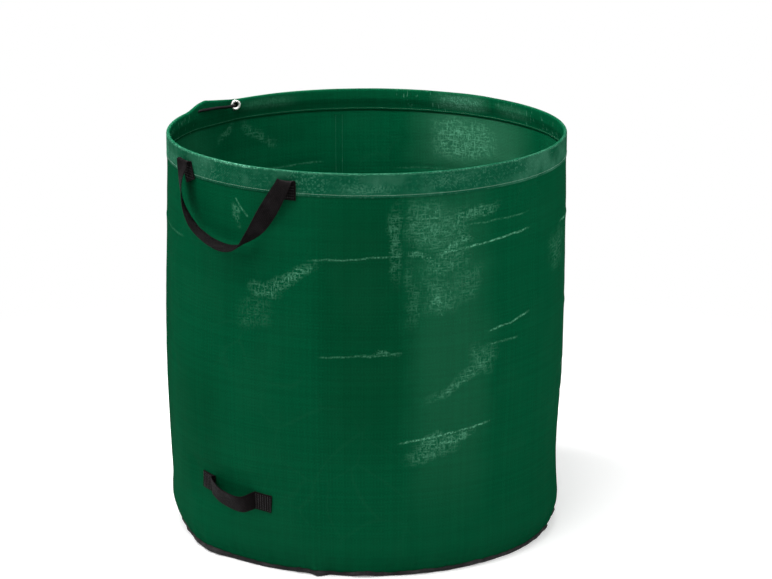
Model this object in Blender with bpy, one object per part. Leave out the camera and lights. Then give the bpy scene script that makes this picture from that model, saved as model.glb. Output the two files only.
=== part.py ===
"""A garden waste bag: a round, free-standing bag of woven cloth with a stiff rod in its rim.

The bag stands on its base panel with the origin at the middle of its foot, +Z up. The carry handles
face -Y and +Y, and the emptying handle is low on the wall under the -Y one. Angles round the bag are
in degrees from -Y, growing towards +X. Sizes are in metres.
"""

import math

import bmesh
import bpy
from mathutils import Vector

# Bag body
BAG_HEIGHT = 0.682
RIM_RADIUS = 0.335
BELLY_BULGE = 0.0025
BELLY_HEIGHT = 0.33
FOOT_DRAW_IN = 0.0065
FOOT_HEIGHT = 0.055
BASE_DRAW_IN = 0.019
CLOTH = 0.0006
BASE_CLOTH = 0.0010
PIPING_DIAMETER = 0.007
SEAM_GAP = 0.0003

# Main folds down the wall: angle, lowest and highest point, depth, and half width in degrees.
WALL_FOLDS = (
    (54.5, 0.235, 0.630, 0.0060, 7.0),
    (12.3, 0.300, 0.500, 0.0045, 6.0),
    (92.5, 0.390, 0.580, 0.0045, 7.0),
    (-38.0, 0.260, 0.560, 0.0040, 7.0),
    (152.0, 0.200, 0.540, 0.0050, 8.0),
    (-142.0, 0.280, 0.610, 0.0045, 7.0),
)

# Rim hem, the rod in it, and the eyelet that holds the rod's end
HEM_HEIGHT = 0.040
HEM_SEAM_HEIGHT = 0.009
HEM_THROAT_DROP = 0.021
ROD_DIAMETER = 0.0045
ROD_DROP = 0.008
ROD_END_GAP = 4.0
SLIT_ANGLE = -77.8
SLIT_LENGTH = 0.038
SLIT_HEIGHT = 0.0068
SLIT_RUN = 0.27
EYELET_ANGLE = -94.3
EYELET_DROP = 0.0095
EYELET_DIAMETER = 0.0165
EYELET_HOLE = 0.0105
EYELET_FLANGE = 0.0008
EYELET_BARREL_WALL = 0.0005
WASHER_DIAMETER = 0.0138
WASHER_THICKNESS = 0.0005

# The rod's tip: how far it reaches behind the washer, and its bend into the bag as (along, inwards).
ROD_TIP_REACH = 0.001
ROD_TIP_BEND = ((0.0, 0.0), (0.0006, 0.0020), (0.0019, 0.0040), (0.0042, 0.0059))

# The rod's bare run: the share of the way to the slit, its slack, and its share of the change in level.
ROD_BARE_RUN = ((0.10, 0.0006, 0.0), (0.30, 0.0008, 0.2), (0.55, 0.0005, 0.7), (0.80, 0.0003, 1.0))

# Webbing and the two carry handles
WEBBING_WIDTH = 0.030
WEBBING_THICKNESS = 0.0015
HANDLE_HALF_SPREAD = 19.5
TAB_TOP_DROP = 0.0185
TAB_BOTTOM_DROP = 0.048
HANDLE_REACH = 0.0085
HANDLE_HANG = 0.1215
HANDLE_LEAN = 16.0
HINGE_SPACE = 0.00035
TAB_FOLD_RISE = 1.2 * WEBBING_THICKNESS
TAB_FOLD_START = 2.2 * WEBBING_THICKNESS

# The loop's middle line, as shares of its half length and of its hang, and how it turns on edge:
# the turn in degrees, where it turns in and where it turns back, as shares of the loop.
LOOP_SHAPE = (
    (-1.00, 0.00),
    (-0.98, 0.24),
    (-0.90, 0.45),
    (-0.75, 0.65),
    (-0.52, 0.83),
    (-0.21, 0.95),
    (0.12, 1.00),
    (0.36, 0.95),
    (0.52, 0.82),
    (0.66, 0.65),
    (0.79, 0.42),
    (0.91, 0.19),
    (1.00, 0.00),
)
LOOP_STEPS = 3
LOOP_TURN = 78.0
LOOP_TURNS_IN = (0.05, 0.27)
LOOP_TURNS_BACK = (0.56, 0.82)

# Emptying handle, low on the wall
GRIP_HEIGHT = 0.124
GRIP_SEAM_ANGLE = 7.8
GRIP_END_ANGLE = 13.4
GRIP_BULGE = 0.026
GRIP_DROOP = 0.008

# Fineness of the round shapes
COLUMN_STEP = 6.0
FOOT_ROWS = 3
BODY_ROWS = 8
PIPING_SIDES = 8
GRIP_STEPS = 14

# What the sizes above give
BELLY_RADIUS = RIM_RADIUS + BELLY_BULGE
FOOT_RADIUS = RIM_RADIUS - FOOT_DRAW_IN
BASE_RADIUS = RIM_RADIUS - BASE_DRAW_IN
SLEEVE_WIDTH = ROD_DIAMETER + 2 * SEAM_GAP + 2 * CLOTH
WALL_TOP_RADIUS = RIM_RADIUS - CLOTH - SEAM_GAP
WALL_TOP = BAG_HEIGHT - ROD_DROP - ROD_DIAMETER / 2 - 4 * SEAM_GAP
WALL_BOTTOM = PIPING_DIAMETER + SEAM_GAP
SEAM_RADIUS = BASE_RADIUS - PIPING_DIAMETER / 2 + CLOTH / 2
HEM_BOTTOM = BAG_HEIGHT - HEM_HEIGHT
SLEEVE_INNER = RIM_RADIUS - SLEEVE_WIDTH
ROD_RADIUS_OF_RING = RIM_RADIUS - SLEEVE_WIDTH / 2
HINGE_HEIGHT = BAG_HEIGHT - TAB_TOP_DROP


def clear_scene():
    for item in list(bpy.data.objects):
        bpy.data.objects.remove(item, do_unlink=True)


def finish(name, colour, roughness, metallic=0.0):
    """A material with one colour, roughness and metallic value."""
    material = bpy.data.materials.new(name)
    material.use_nodes = True
    shader = material.node_tree.nodes["Principled BSDF"]
    shader.inputs["Base Color"].default_value = (*colour, 1)
    shader.inputs["Roughness"].default_value = roughness
    shader.inputs["Metallic"].default_value = metallic
    material.diffuse_color = (*colour, 1)
    return material


def place_empty(name, location):
    """An empty that carries the pieces of one moving group."""
    empty = bpy.data.objects.new(name, None)
    empty.empty_display_size = 0.05
    empty.location = location
    bpy.context.collection.objects.link(empty)
    return empty


def place(item, material, origin=(0, 0, 0), parent=None):
    """Gives an object its material, its origin in the world and its parent."""
    item.data.materials.append(material)
    item.location = Vector(origin)
    if parent:
        item.parent = parent
        item.location -= parent.location
    return item


def mesh_object(name, shape, material, origin=(0, 0, 0), parent=None, smooth=35):
    """Makes an object of a bmesh in world coordinates, with its origin at the given point."""
    bmesh.ops.recalc_face_normals(shape, faces=shape.faces)
    if shape.calc_volume(signed=True) < 0:
        bmesh.ops.reverse_faces(shape, faces=shape.faces)
    bmesh.ops.translate(shape, verts=shape.verts, vec=-Vector(origin))
    mesh = bpy.data.meshes.new(name)
    shape.to_mesh(mesh)
    shape.free()
    mesh.shade_smooth()
    mesh.set_sharp_from_angle(angle=math.radians(smooth))
    item = bpy.data.objects.new(name, mesh)
    bpy.context.collection.objects.link(item)
    return place(item, material, origin, parent)


def ease(share):
    """Rises from 0 to 1 with level ends."""
    share = min(max(share, 0.0), 1.0)
    return share * share * (3 - 2 * share)


def outward(angle):
    """The level direction away from the bag's axis at an angle."""
    turn = math.radians(angle)
    return Vector((math.sin(turn), -math.cos(turn), 0))


def sideways(angle):
    """The level direction along the rim at an angle."""
    turn = math.radians(angle)
    return Vector((math.cos(turn), math.sin(turn), 0))


def at(angle, radius, height):
    return outward(angle) * radius + Vector((0, 0, height))


def columns():
    """The angles of the upright edges of every round piece, with one in the middle of each fold."""
    plain = [step * COLUMN_STEP - 180 for step in range(round(360 / COLUMN_STEP))]
    folds = [fold[0] for fold in WALL_FOLDS]
    nearest = COLUMN_STEP / 3
    kept = [angle for angle in plain if all(abs(angle - fold) > nearest for fold in folds)]
    return sorted(kept + folds)


def heights():
    """The levels of the wall's rows of faces."""
    foot = [WALL_BOTTOM + (FOOT_HEIGHT - WALL_BOTTOM) * i / FOOT_ROWS for i in range(FOOT_ROWS)]
    body = [FOOT_HEIGHT + (HEM_BOTTOM - FOOT_HEIGHT) * i / BODY_ROWS for i in range(BODY_ROWS)]
    return foot + body + [HEM_BOTTOM, WALL_TOP]


def fold_depth(angle, height):
    """How far the folds draw the wall in at a place."""
    depth = 0.0
    for middle, low, high, deepest, half_width in WALL_FOLDS:
        off = abs((angle - middle + 180) % 360 - 180)
        along = (height - low) / (high - low)
        if off < half_width and 0 < along < 1:
            depth += deepest * (1 - off / half_width) * math.sin(math.pi * along)
    return depth


def wall_radius(angle, height):
    """The outer radius of the wall: drawn in at the foot, widest at the belly, straight at the hem."""
    if height <= FOOT_HEIGHT:
        share = (height - WALL_BOTTOM) / (FOOT_HEIGHT - WALL_BOTTOM)
        radius = SEAM_RADIUS + (FOOT_RADIUS - SEAM_RADIUS) * math.sin(math.pi / 2 * share)
    elif height <= BELLY_HEIGHT:
        share = (height - FOOT_HEIGHT) / (BELLY_HEIGHT - FOOT_HEIGHT)
        radius = FOOT_RADIUS + (BELLY_RADIUS - FOOT_RADIUS) * ease(share)
    else:
        share = (height - BELLY_HEIGHT) / (HEM_BOTTOM - BELLY_HEIGHT)
        radius = BELLY_RADIUS + (WALL_TOP_RADIUS - BELLY_RADIUS) * ease(share)
    return radius - fold_depth(angle, height)


def neighbours(value, stops):
    """The two stops on either side of a value."""
    after = next((i for i, stop in enumerate(stops) if stop > value), len(stops) - 1)
    after = max(after, 1)
    return stops[after - 1], stops[after]


def wall_point(angle, height, off=0.0):
    """A point on the wall's flat faces, moved outwards by a distance."""
    left, right = neighbours(angle, columns())
    low, high = neighbours(height, heights())
    share = (height - low) / (high - low)
    edges = []
    for side in (left, right):
        below = at(side, wall_radius(side, low), low)
        above = at(side, wall_radius(side, high), high)
        edges.append(below.lerp(above, share))
    across = sideways(angle)
    start, end = (edge.dot(across) for edge in edges)
    point = edges[0].lerp(edges[1], start / (start - end))
    return point + outward(angle) * off


def grid_faces(shape, rows, closed_rows=False, closed_columns=False):
    """Joins rows of vertices with faces."""
    last_row = len(rows) if closed_rows else len(rows) - 1
    last_column = len(rows[0]) if closed_columns else len(rows[0]) - 1
    for i in range(last_row):
        for j in range(last_column):
            below, above = rows[i], rows[(i + 1) % len(rows)]
            following = (j + 1) % len(below)
            shape.faces.new((below[j], below[following], above[following], above[j]))


def turned(name, section, material, parent=None, smooth=35):
    """A ring with a closed section, given as a function of the angle that lists (radius, height)."""
    shape = bmesh.new()
    rows = []
    for angle in columns():
        rows.append([shape.verts.new(at(angle, radius, height)) for radius, height in section(angle)])
    grid_faces(shape, rows, closed_rows=True, closed_columns=True)
    return mesh_object(name, shape, material, parent=parent, smooth=smooth)


def ribbon(name, frames, material, origin=(0, 0, 0), parent=None):
    """A strap through frames of (middle, direction of its width, direction of its thickness)."""
    shape = bmesh.new()
    rows = []
    for middle, width_way, thick_way in frames:
        half = width_way.normalized() * (WEBBING_WIDTH / 2)
        thick = thick_way.normalized() * (WEBBING_THICKNESS / 2)
        corners = (half + thick, half - thick, -half - thick, -half + thick)
        rows.append([shape.verts.new(middle + corner) for corner in corners])
    grid_faces(shape, rows, closed_columns=True)
    shape.faces.new(rows[0])
    shape.faces.new(rows[-1])
    return mesh_object(name, shape, material, origin, parent)


def wall_fabric(material):
    def section(angle):
        outer = [(wall_radius(angle, height), height) for height in heights()]
        inner = [(radius - CLOTH, height) for radius, height in reversed(outer)]
        return outer + inner

    return turned("wall_fabric", section, material, smooth=60)


def base_panel(material):
    shape = bmesh.new()
    radius = BASE_RADIUS - PIPING_DIAMETER - SEAM_GAP
    foot = [shape.verts.new(at(angle, radius, 0)) for angle in columns()]
    base = shape.faces.new(foot)
    grown = bmesh.ops.extrude_face_region(shape, geom=[base])
    top = [item for item in grown["geom"] if isinstance(item, bmesh.types.BMVert)]
    bmesh.ops.translate(shape, verts=top, vec=(0, 0, BASE_CLOTH))
    return mesh_object("base_panel", shape, material)


def base_piping(material):
    """The binding round the edge of the base, flat underneath where it stands."""
    half = PIPING_DIAMETER / 2
    reach = half / math.cos(math.pi / PIPING_SIDES)

    def section(angle):
        turns = [math.pi * (2 * side + 1) / PIPING_SIDES for side in range(PIPING_SIDES)]
        middle = BASE_RADIUS - half
        return [(middle + reach * math.cos(turn), half + reach * math.sin(turn)) for turn in turns]

    return turned("base_piping", section, material, smooth=50)


def hem_section(angle):
    """A sleeve over the rod that closes on the wall's top edge at its seam."""
    fold = SLEEVE_WIDTH / 2
    fold_middle = (RIM_RADIUS - fold, BAG_HEIGHT - fold)
    throat = BAG_HEIGHT - HEM_THROAT_DROP
    seam_top = HEM_BOTTOM + HEM_SEAM_HEIGHT
    pinched = RIM_RADIUS - 3 * CLOTH - 2 * SEAM_GAP

    def over(radius, turns):
        return [
            (
                fold_middle[0] + radius * math.cos(math.radians(turn)),
                fold_middle[1] + radius * math.sin(math.radians(turn)),
            )
            for turn in turns
        ]

    outside = [(RIM_RADIUS, HEM_BOTTOM), *over(fold, (0, 45, 90, 135, 180))]
    outside += [(SLEEVE_INNER, throat), (pinched, seam_top), (pinched, HEM_BOTTOM)]
    inside = [(pinched + CLOTH, HEM_BOTTOM), (pinched + CLOTH, seam_top), (SLEEVE_INNER + CLOTH, throat)]
    inside += [*over(fold - CLOTH, (180, 135, 90, 45, 0)), (RIM_RADIUS - CLOTH, HEM_BOTTOM)]
    return outside + inside


def cutter(item):
    item.hide_render = True
    item.display_type = "WIRE"
    return item


def cut(item, tool):
    modifier = item.modifiers.new(tool.name, "BOOLEAN")
    modifier.operation = "DIFFERENCE"
    modifier.object = tool


def disc_ring(shape, angle, drop, radii, depths, sides=20):
    """A turned ring about a level axis through the hem: radii and depths along outward()."""
    axis, across, up = outward(angle), sideways(angle), Vector((0, 0, 1))
    middle = Vector((0, 0, BAG_HEIGHT - drop))
    rows = []
    for side in range(sides):
        turn = 2 * math.pi * side / sides
        spoke = across * math.cos(turn) + up * math.sin(turn)
        row = [middle + axis * depth + spoke * radius for radius, depth in zip(radii, depths)]
        rows.append([shape.verts.new(point) for point in row])
    grid_faces(shape, rows, closed_rows=True, closed_columns=True)


def slit_cutter():
    """A long slot through the inner layer of the sleeve only."""
    shape = bmesh.new()
    bmesh.ops.create_cube(shape, size=1)
    depth = SLEEVE_WIDTH
    for vert in shape.verts:
        share = vert.co.copy()
        along = sideways(SLIT_ANGLE) * share.x * SLIT_LENGTH
        through = outward(SLIT_ANGLE) * (SLEEVE_INNER + share.y * depth)
        vert.co = along + through + Vector((0, 0, BAG_HEIGHT - ROD_DROP + share.z * SLIT_HEIGHT))
    return cutter(mesh_object("slit_cutter", shape, finish("slit_cutter", (1, 0, 0), 0.5)))


def eyelet_cutter():
    """The round hole in the inner layer of the sleeve that the eyelet's barrel fills."""
    radius = EYELET_HOLE / 2 + EYELET_BARREL_WALL + SEAM_GAP
    shape = bmesh.new()
    width = {"radius1": radius, "radius2": radius}
    bmesh.ops.create_cone(shape, cap_ends=True, segments=20, depth=SLEEVE_WIDTH, **width)
    axis, across = outward(EYELET_ANGLE), sideways(EYELET_ANGLE)
    for vert in shape.verts:
        local = vert.co.copy()
        level = BAG_HEIGHT - EYELET_DROP + local.y
        vert.co = across * local.x + axis * (SLEEVE_INNER + local.z) + Vector((0, 0, level))
    return cutter(mesh_object("eyelet_cutter", shape, finish("eyelet_cutter", (1, 0, 0), 0.5)))


def rim_hem(material, parent):
    hem = turned("rim_hem", hem_section, material, parent)
    cut(hem, slit_cutter())
    cut(hem, eyelet_cutter())
    return hem


def flange_depth():
    """How far the eyelet's flange lies from the bag's axis, clear of the sleeve's flat faces."""
    return SLEEVE_INNER * math.cos(math.radians(COLUMN_STEP / 2)) - SEAM_GAP


def washer_depth():
    return SLEEVE_INNER + CLOTH + SEAM_GAP


def eyelet_ring(material, parent):
    hole = EYELET_HOLE / 2
    barrel = hole + EYELET_BARREL_WALL
    rim = EYELET_DIAMETER / 2
    back = flange_depth()
    front = back - EYELET_FLANGE
    end = washer_depth() + WASHER_THICKNESS
    rounding = EYELET_FLANGE / 3
    radii = (hole, hole + rounding, rim - rounding, rim, barrel, barrel, hole)
    depths = (front + rounding, front, front, back, back, end, end)
    shape = bmesh.new()
    disc_ring(shape, EYELET_ANGLE, EYELET_DROP, radii, depths)
    return mesh_object("eyelet_ring", shape, material, parent=parent)


def eyelet_washer(material, parent):
    hole = EYELET_HOLE / 2 + EYELET_BARREL_WALL + SEAM_GAP
    rim = WASHER_DIAMETER / 2
    near = washer_depth()
    far = near + WASHER_THICKNESS
    shape = bmesh.new()
    disc_ring(shape, EYELET_ANGLE, EYELET_DROP, (hole, rim, rim, hole), (near, near, far, far))
    return mesh_object("eyelet_washer", shape, material, parent=parent)


def on_facet(angle, radius):
    """The radius at an angle on the flat side of a ring whose corners have the given radius."""
    wrapped = (angle + 180) % 360 - 180
    left, right = neighbours(wrapped, columns())
    half = math.radians(right - left) / 2
    return radius * math.cos(half) / math.cos(math.radians(wrapped - (left + right) / 2))


def smooth_path(points, steps):
    """A smooth curve through points, with even steps between each two."""
    path = []
    for i in range(len(points) - 1):
        before = points[max(i - 1, 0)]
        start, end = points[i], points[i + 1]
        after = points[min(i + 2, len(points) - 1)]
        for step in range(steps):
            t = step / steps
            bend = (end - before) * t + (2 * before - 5 * start + 4 * end - after) * t * t
            bend += (3 * start - before - 3 * end + after) * t * t * t
            path.append(start + bend / 2)
    return path + [points[-1]]


def rod_path():
    """The rod's middle line: tip in the eyelet, bare to the slit, then round in the sleeve."""
    eyelet_level = BAG_HEIGHT - EYELET_DROP
    sleeve_level = BAG_HEIGHT - ROD_DROP
    flange = flange_depth() - EYELET_FLANGE
    bare = flange - SEAM_GAP - ROD_DIAMETER / 2
    tip = outward(EYELET_ANGLE) * (washer_depth() + ROD_TIP_REACH) + Vector((0, 0, eyelet_level))
    along = sideways(EYELET_ANGLE)
    inwards = -outward(EYELET_ANGLE)
    start = [tip + along * run + inwards * depth for run, depth in ROD_TIP_BEND]
    span = SLIT_ANGLE - EYELET_ANGLE
    clear = SLEEVE_INNER - SEAM_GAP - ROD_DIAMETER / 2
    middle = []
    for share, slack, fall in ROD_BARE_RUN:
        level = eyelet_level + (sleeve_level - eyelet_level) * fall
        middle.append(at(EYELET_ANGLE + share * span, bare + (clear - bare) * fall - slack, level))
    half_in = on_facet(SLIT_ANGLE, (clear + ROD_RADIUS_OF_RING) / 2)
    middle.append(at(SLIT_ANGLE, half_in, sleeve_level))
    for share in (SLIT_RUN / 2, SLIT_RUN * 3 / 4, SLIT_RUN):
        angle = SLIT_ANGLE + share * span
        middle.append(at(angle, on_facet(angle, ROD_RADIUS_OF_RING), sleeve_level))
    entry = smooth_path(start + middle, 3)
    last = 360 + EYELET_ANGLE - ROD_END_GAP
    first = SLIT_ANGLE + SLIT_RUN * span
    ring = [angle for turn in (0, 360) for angle in (a + turn for a in columns()) if first + 1 < angle < last]
    return entry + [at(angle, on_facet(angle, ROD_RADIUS_OF_RING), sleeve_level) for angle in ring + [last]]


def rim_hoop(material, parent):
    curve = bpy.data.curves.new("rim_hoop", "CURVE")
    curve.dimensions = "3D"
    curve.bevel_depth = ROD_DIAMETER / 2
    curve.bevel_resolution = 2
    curve.use_fill_caps = True
    path = rod_path()
    spline = curve.splines.new("POLY")
    spline.points.add(len(path) - 1)
    for point, place_of in zip(spline.points, path):
        point.co = (*place_of, 1)
    hoop = bpy.data.objects.new("rim_hoop", curve)
    bpy.context.collection.objects.link(hoop)
    return place(hoop, material, parent=parent)


def hinge_reach():
    """How far the carry handle's hinge line lies from the bag's axis."""
    return RIM_RADIUS * math.cos(math.radians(HANDLE_HALF_SPREAD)) + HANDLE_REACH


def handle_half_length():
    return RIM_RADIUS * math.sin(math.radians(HANDLE_HALF_SPREAD))


def facing(side):
    """The level direction that a handle faces, for -1 the front and for 1 the back one."""
    return Vector((0, side, 0))


def handle_tab(name, side, hand, material, parent):
    """A sewn end of a carry handle: up the hem's outer face, then folded over towards the strap."""
    angle = HANDLE_HALF_SPREAD * hand
    away, across = outward(angle), sideways(angle)
    if side > 0:
        away, across = -away, -across
    up = Vector((0, 0, 1))
    face = RIM_RADIUS + SEAM_GAP + WEBBING_THICKNESS / 2
    length_way = Vector((-side, 0, 0))
    hinge = facing(side) * hinge_reach() + length_way * (handle_half_length() * hand)
    end = hinge - facing(side) * (WEBBING_THICKNESS / 2 + HINGE_SPACE) + up * HINGE_HEIGHT
    top = away * face + up * (HINGE_HEIGHT - TAB_FOLD_START)
    rise = up * TAB_FOLD_RISE
    half_way = (across + length_way).normalized()
    frames = [
        (away * face + up * (BAG_HEIGHT - TAB_BOTTOM_DROP), across, away),
        (top, across, away),
        (top + rise + away * (0.3 * WEBBING_THICKNESS), across, away + up * -0.4),
        (top.lerp(end, 0.45) + rise, half_way, away + up * -2.0),
        (end, length_way, -up),
    ]
    return ribbon(name, frames, material, parent=parent)


def loop_eased(share, span):
    """Rises from 0 to 1 over a span of the loop."""
    return ease((share - span[0]) / (span[1] - span[0]))


def handle_strap(name, side, material, parent):
    """The loop of a carry handle, hanging out from its hinge line and turned on edge at the bottom."""
    length_way = Vector((-side, 0, 0))
    lean = math.radians(HANDLE_LEAN)
    down = Vector((0, 0, -math.cos(lean))) + facing(side) * math.sin(lean)
    normal = facing(side) * math.cos(lean) + Vector((0, 0, math.sin(lean)))
    hinge = facing(side) * hinge_reach() + Vector((0, 0, HINGE_HEIGHT))
    half = handle_half_length()
    lead = WEBBING_THICKNESS / 2 + HINGE_SPACE
    marks = []
    for run, share in LOOP_SHAPE:
        marks.append(hinge + length_way * (half * run) + down * (lead + (HANDLE_HANG - lead) * share))
    points = smooth_path(marks, LOOP_STEPS)
    last = len(points) - 1
    frames = []
    for step, point in enumerate(points):
        before = points[max(step - 1, 0)]
        after = points[min(step + 1, last)]
        tangent = down if step == 0 else -down if step == last else (after - before).normalized()
        turned = loop_eased(step / last, LOOP_TURNS_IN) - loop_eased(step / last, LOOP_TURNS_BACK)
        turn = math.radians(LOOP_TURN) * turned
        flat = normal.cross(tangent).normalized()
        across = flat * math.cos(turn) + normal * math.sin(turn)
        frames.append((point, across, tangent.cross(across)))
    return ribbon(name, frames, material, hinge, parent)


def grip_end(name, hand, material):
    """A sewn end of the emptying handle, flat on the wall."""
    near, far = sorted((GRIP_SEAM_ANGLE * hand, GRIP_END_ANGLE * hand))
    angles = [near, *[angle for angle in columns() if near + 0.2 < angle < far - 0.2], far]
    low, high = GRIP_HEIGHT - WEBBING_WIDTH / 2, GRIP_HEIGHT + WEBBING_WIDTH / 2
    levels = [low, *[height for height in heights() if low + 0.001 < height < high - 0.001], high]
    shape = bmesh.new()
    layers = []
    for off in (SEAM_GAP, SEAM_GAP + WEBBING_THICKNESS):
        layer = []
        for level in levels:
            layer.append([shape.verts.new(wall_point(angle, level, off)) for angle in angles])
        layers.append(layer)
    inner, outer = layers
    grid_faces(shape, inner)
    grid_faces(shape, outer)
    for first, second in ((inner[0], outer[0]), (inner[-1], outer[-1])):
        grid_faces(shape, [first, second])
    for column in (0, -1):
        grid_faces(shape, [[row[column] for row in inner], [row[column] for row in outer]])
    return mesh_object(name, shape, material)


def grip_seams():
    """The lowest and highest point of one inner seam of the emptying handle, in its middle layer."""
    off = SEAM_GAP + WEBBING_THICKNESS / 2
    levels = (GRIP_HEIGHT - WEBBING_WIDTH / 2, GRIP_HEIGHT + WEBBING_WIDTH / 2)
    return [wall_point(GRIP_SEAM_ANGLE, level, off) for level in levels]


def grip_hinge():
    """The middle of the level line through both seams, which the emptying handle swings about."""
    return Vector((0, min(seam.y for seam in grip_seams()) - SEAM_GAP, GRIP_HEIGHT))


def grip_half_length():
    return min(seam.x for seam in grip_seams()) - WEBBING_THICKNESS / 4


def grip_strap(material):
    """The loose part of the emptying handle, standing out from the wall and drooping."""
    hinge = grip_hinge()
    half = grip_half_length()
    away, up = Vector((0, -1, 0)), Vector((0, 0, 1))
    points = []
    for step in range(GRIP_STEPS + 1):
        run = -math.cos(math.pi * step / GRIP_STEPS)
        arch = 1 - run * run
        off = away * (GRIP_BULGE * arch) - up * (GRIP_DROOP * arch)
        points.append(hinge + Vector((half * run, 0, 0)) + off)
    frames = [(points[0], up, away)]
    for step in range(1, GRIP_STEPS):
        tangent = (points[step + 1] - points[step - 1]).normalized()
        arch = (hinge - points[step]).dot(up) / GRIP_DROOP
        square = (up - tangent * up.dot(tangent)).normalized()
        across = up.lerp(square, ease(arch))
        frames.append((points[step], across, tangent.cross(across)))
    frames.append((points[-1], up, away))
    return ribbon("lower_handle_strap", frames, material, hinge)


def main():
    clear_scene()
    cloth = finish("laminated_cloth", (0.004, 0.085, 0.032), 0.42)
    hem_cloth = finish("hem_cloth", (0.026, 0.14, 0.072), 0.62)
    webbing = finish("black_webbing", (0.014, 0.012, 0.013), 0.75)
    rod = finish("rod_plastic", (0.010, 0.010, 0.010), 0.40)
    binding = finish("black_binding", (0.010, 0.010, 0.010), 0.70)
    metal = finish("eyelet_metal", (0.80, 0.80, 0.78), 0.28, 1.0)

    wall_fabric(cloth)
    base_panel(cloth)
    base_piping(binding)

    rim = place_empty("rim", (0, 0, BAG_HEIGHT))
    rim_hem(hem_cloth, rim)
    rim_hoop(rod, rim)
    eyelet_ring(metal, rim)
    eyelet_washer(metal, rim)
    for side, face in ((-1, "front"), (1, "back")):
        handle_tab(f"{face}_handle_tab_left", side, -1, webbing, rim)
        handle_tab(f"{face}_handle_tab_right", side, 1, webbing, rim)
        handle_strap(f"{face}_handle_strap", side, webbing, rim)

    grip_end("lower_handle_end_left", -1, webbing)
    grip_end("lower_handle_end_right", 1, webbing)
    grip_strap(webbing)


main()
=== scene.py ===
"""The dressed scene of a garden waste bag.

A round, free-standing bag of dark green laminated tape cloth, with a lighter hem over a stiff rod at its
rim, two carry handles and one emptying handle of black webbing, and a black binding round its foot.
Lengths are in metres. Angles round the bag are in degrees from -Y, growing towards +X.
"""

import logging
import math
from collections.abc import Callable, Sequence
from dataclasses import dataclass, field
from enum import Enum
from functools import cache

import bpy
import numpy as np
from mathutils import Matrix, Vector, noise


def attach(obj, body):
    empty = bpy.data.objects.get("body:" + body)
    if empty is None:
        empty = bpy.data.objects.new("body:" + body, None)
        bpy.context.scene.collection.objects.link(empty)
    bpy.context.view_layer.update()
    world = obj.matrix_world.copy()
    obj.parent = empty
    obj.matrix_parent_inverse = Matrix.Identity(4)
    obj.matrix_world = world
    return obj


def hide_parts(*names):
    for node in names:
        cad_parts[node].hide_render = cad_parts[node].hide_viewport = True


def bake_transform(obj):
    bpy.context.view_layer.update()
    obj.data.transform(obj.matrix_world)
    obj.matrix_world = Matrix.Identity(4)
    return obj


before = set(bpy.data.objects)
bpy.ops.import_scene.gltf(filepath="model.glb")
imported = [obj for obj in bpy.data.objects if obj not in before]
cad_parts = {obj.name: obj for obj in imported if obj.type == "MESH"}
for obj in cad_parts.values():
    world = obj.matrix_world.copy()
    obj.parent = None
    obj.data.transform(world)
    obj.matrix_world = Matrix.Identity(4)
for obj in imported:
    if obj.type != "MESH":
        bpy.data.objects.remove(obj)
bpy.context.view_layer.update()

LOG = logging.getLogger("waste_bag")
UP = Vector((0, 0, 1))
RIM_RADIUS = 0.335

Colour = tuple[float, float, float]
Material = bpy.types.Material
Mesh = bpy.types.Mesh
Node = bpy.types.Node
NodeTree = bpy.types.NodeTree
Piece = bpy.types.Object
Socket = bpy.types.NodeSocket
Sockets = dict[str, Socket]
Inputs = dict[str | int, object]
Pattern = Callable[["Graph", Sockets], Sockets]


# Directions and curves


def outward(angle: float) -> Vector:
    """Return the level direction away from the bag's axis at an angle."""
    turn = math.radians(angle)
    return Vector((math.sin(turn), -math.cos(turn), 0))


def sideways(angle: float) -> Vector:
    """Return the level direction along the rim at an angle."""
    turn = math.radians(angle)
    return Vector((math.cos(turn), math.sin(turn), 0))


def at(angle: float, radius: float, height: float) -> Vector:
    """Return the point at an angle, a radius and a height."""
    return outward(angle) * radius + UP * height


def ease(share: np.ndarray | float) -> np.ndarray | float:
    """Rise from 0 to 1 with level ends."""
    share = np.clip(share, 0.0, 1.0)
    return share * share * (3 - 2 * share)


def turn_between(angle: np.ndarray | float, middle: float) -> np.ndarray | float:
    """Return how far angles lie from a middle one, from 0 to 180."""
    return np.abs((angle - middle + 180) % 360 - 180)


def round_points(angles: np.ndarray, radii: np.ndarray, heights: np.ndarray) -> np.ndarray:
    """Turn arrays of angles, radii and heights into an array of points.

    Args:
        angles: Angles round the bag, in degrees.
        radii: Distances from the bag's axis.
        heights: Heights over the floor.

    Returns:
        The points, in an array with one more axis of length 3.
    """
    turns = np.radians(angles)
    return np.stack([radii * np.sin(turns), -radii * np.cos(turns), heights + 0 * turns], axis=-1)


def rough(points: np.ndarray, scale: float, seed: float) -> np.ndarray:
    """Sample smooth noise from -1 to 1 at an array of points.

    Args:
        points: Points in an array whose last axis has length 3.
        scale: How many bumps there are to a metre.
        seed: An offset that gives another pattern.

    Returns:
        The noise, in an array of the same shape without the last axis.
    """
    flat = points.reshape(-1, 3) * scale + seed
    return np.array([noise.noise(Vector(place)) for place in flat]).reshape(points.shape[:-1])


def smooth_path(points: Sequence[Vector], steps: int) -> list[Vector]:
    """Draw a smooth curve through points.

    Args:
        points: The points that the curve passes through.
        steps: How many steps it takes between each two.

    Returns:
        The points of the curve.
    """
    path = []
    for i in range(len(points) - 1):
        before, start, end = points[max(i - 1, 0)], points[i], points[i + 1]
        after = points[min(i + 2, len(points) - 1)]
        for step in range(steps):
            t = step / steps
            bend = (end - before) * t + (2 * before - 5 * start + 4 * end - after) * t * t
            bend += (3 * start - before - 3 * end + after) * t * t * t
            path.append(start + bend / 2)
    return path + [points[-1]]


# Meshes


def take(piece: Piece) -> None:
    """Select one piece alone and make it the active one."""
    bpy.ops.object.select_all(action="DESELECT")
    piece.select_set(True)
    bpy.context.view_layer.objects.active = piece


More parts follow.
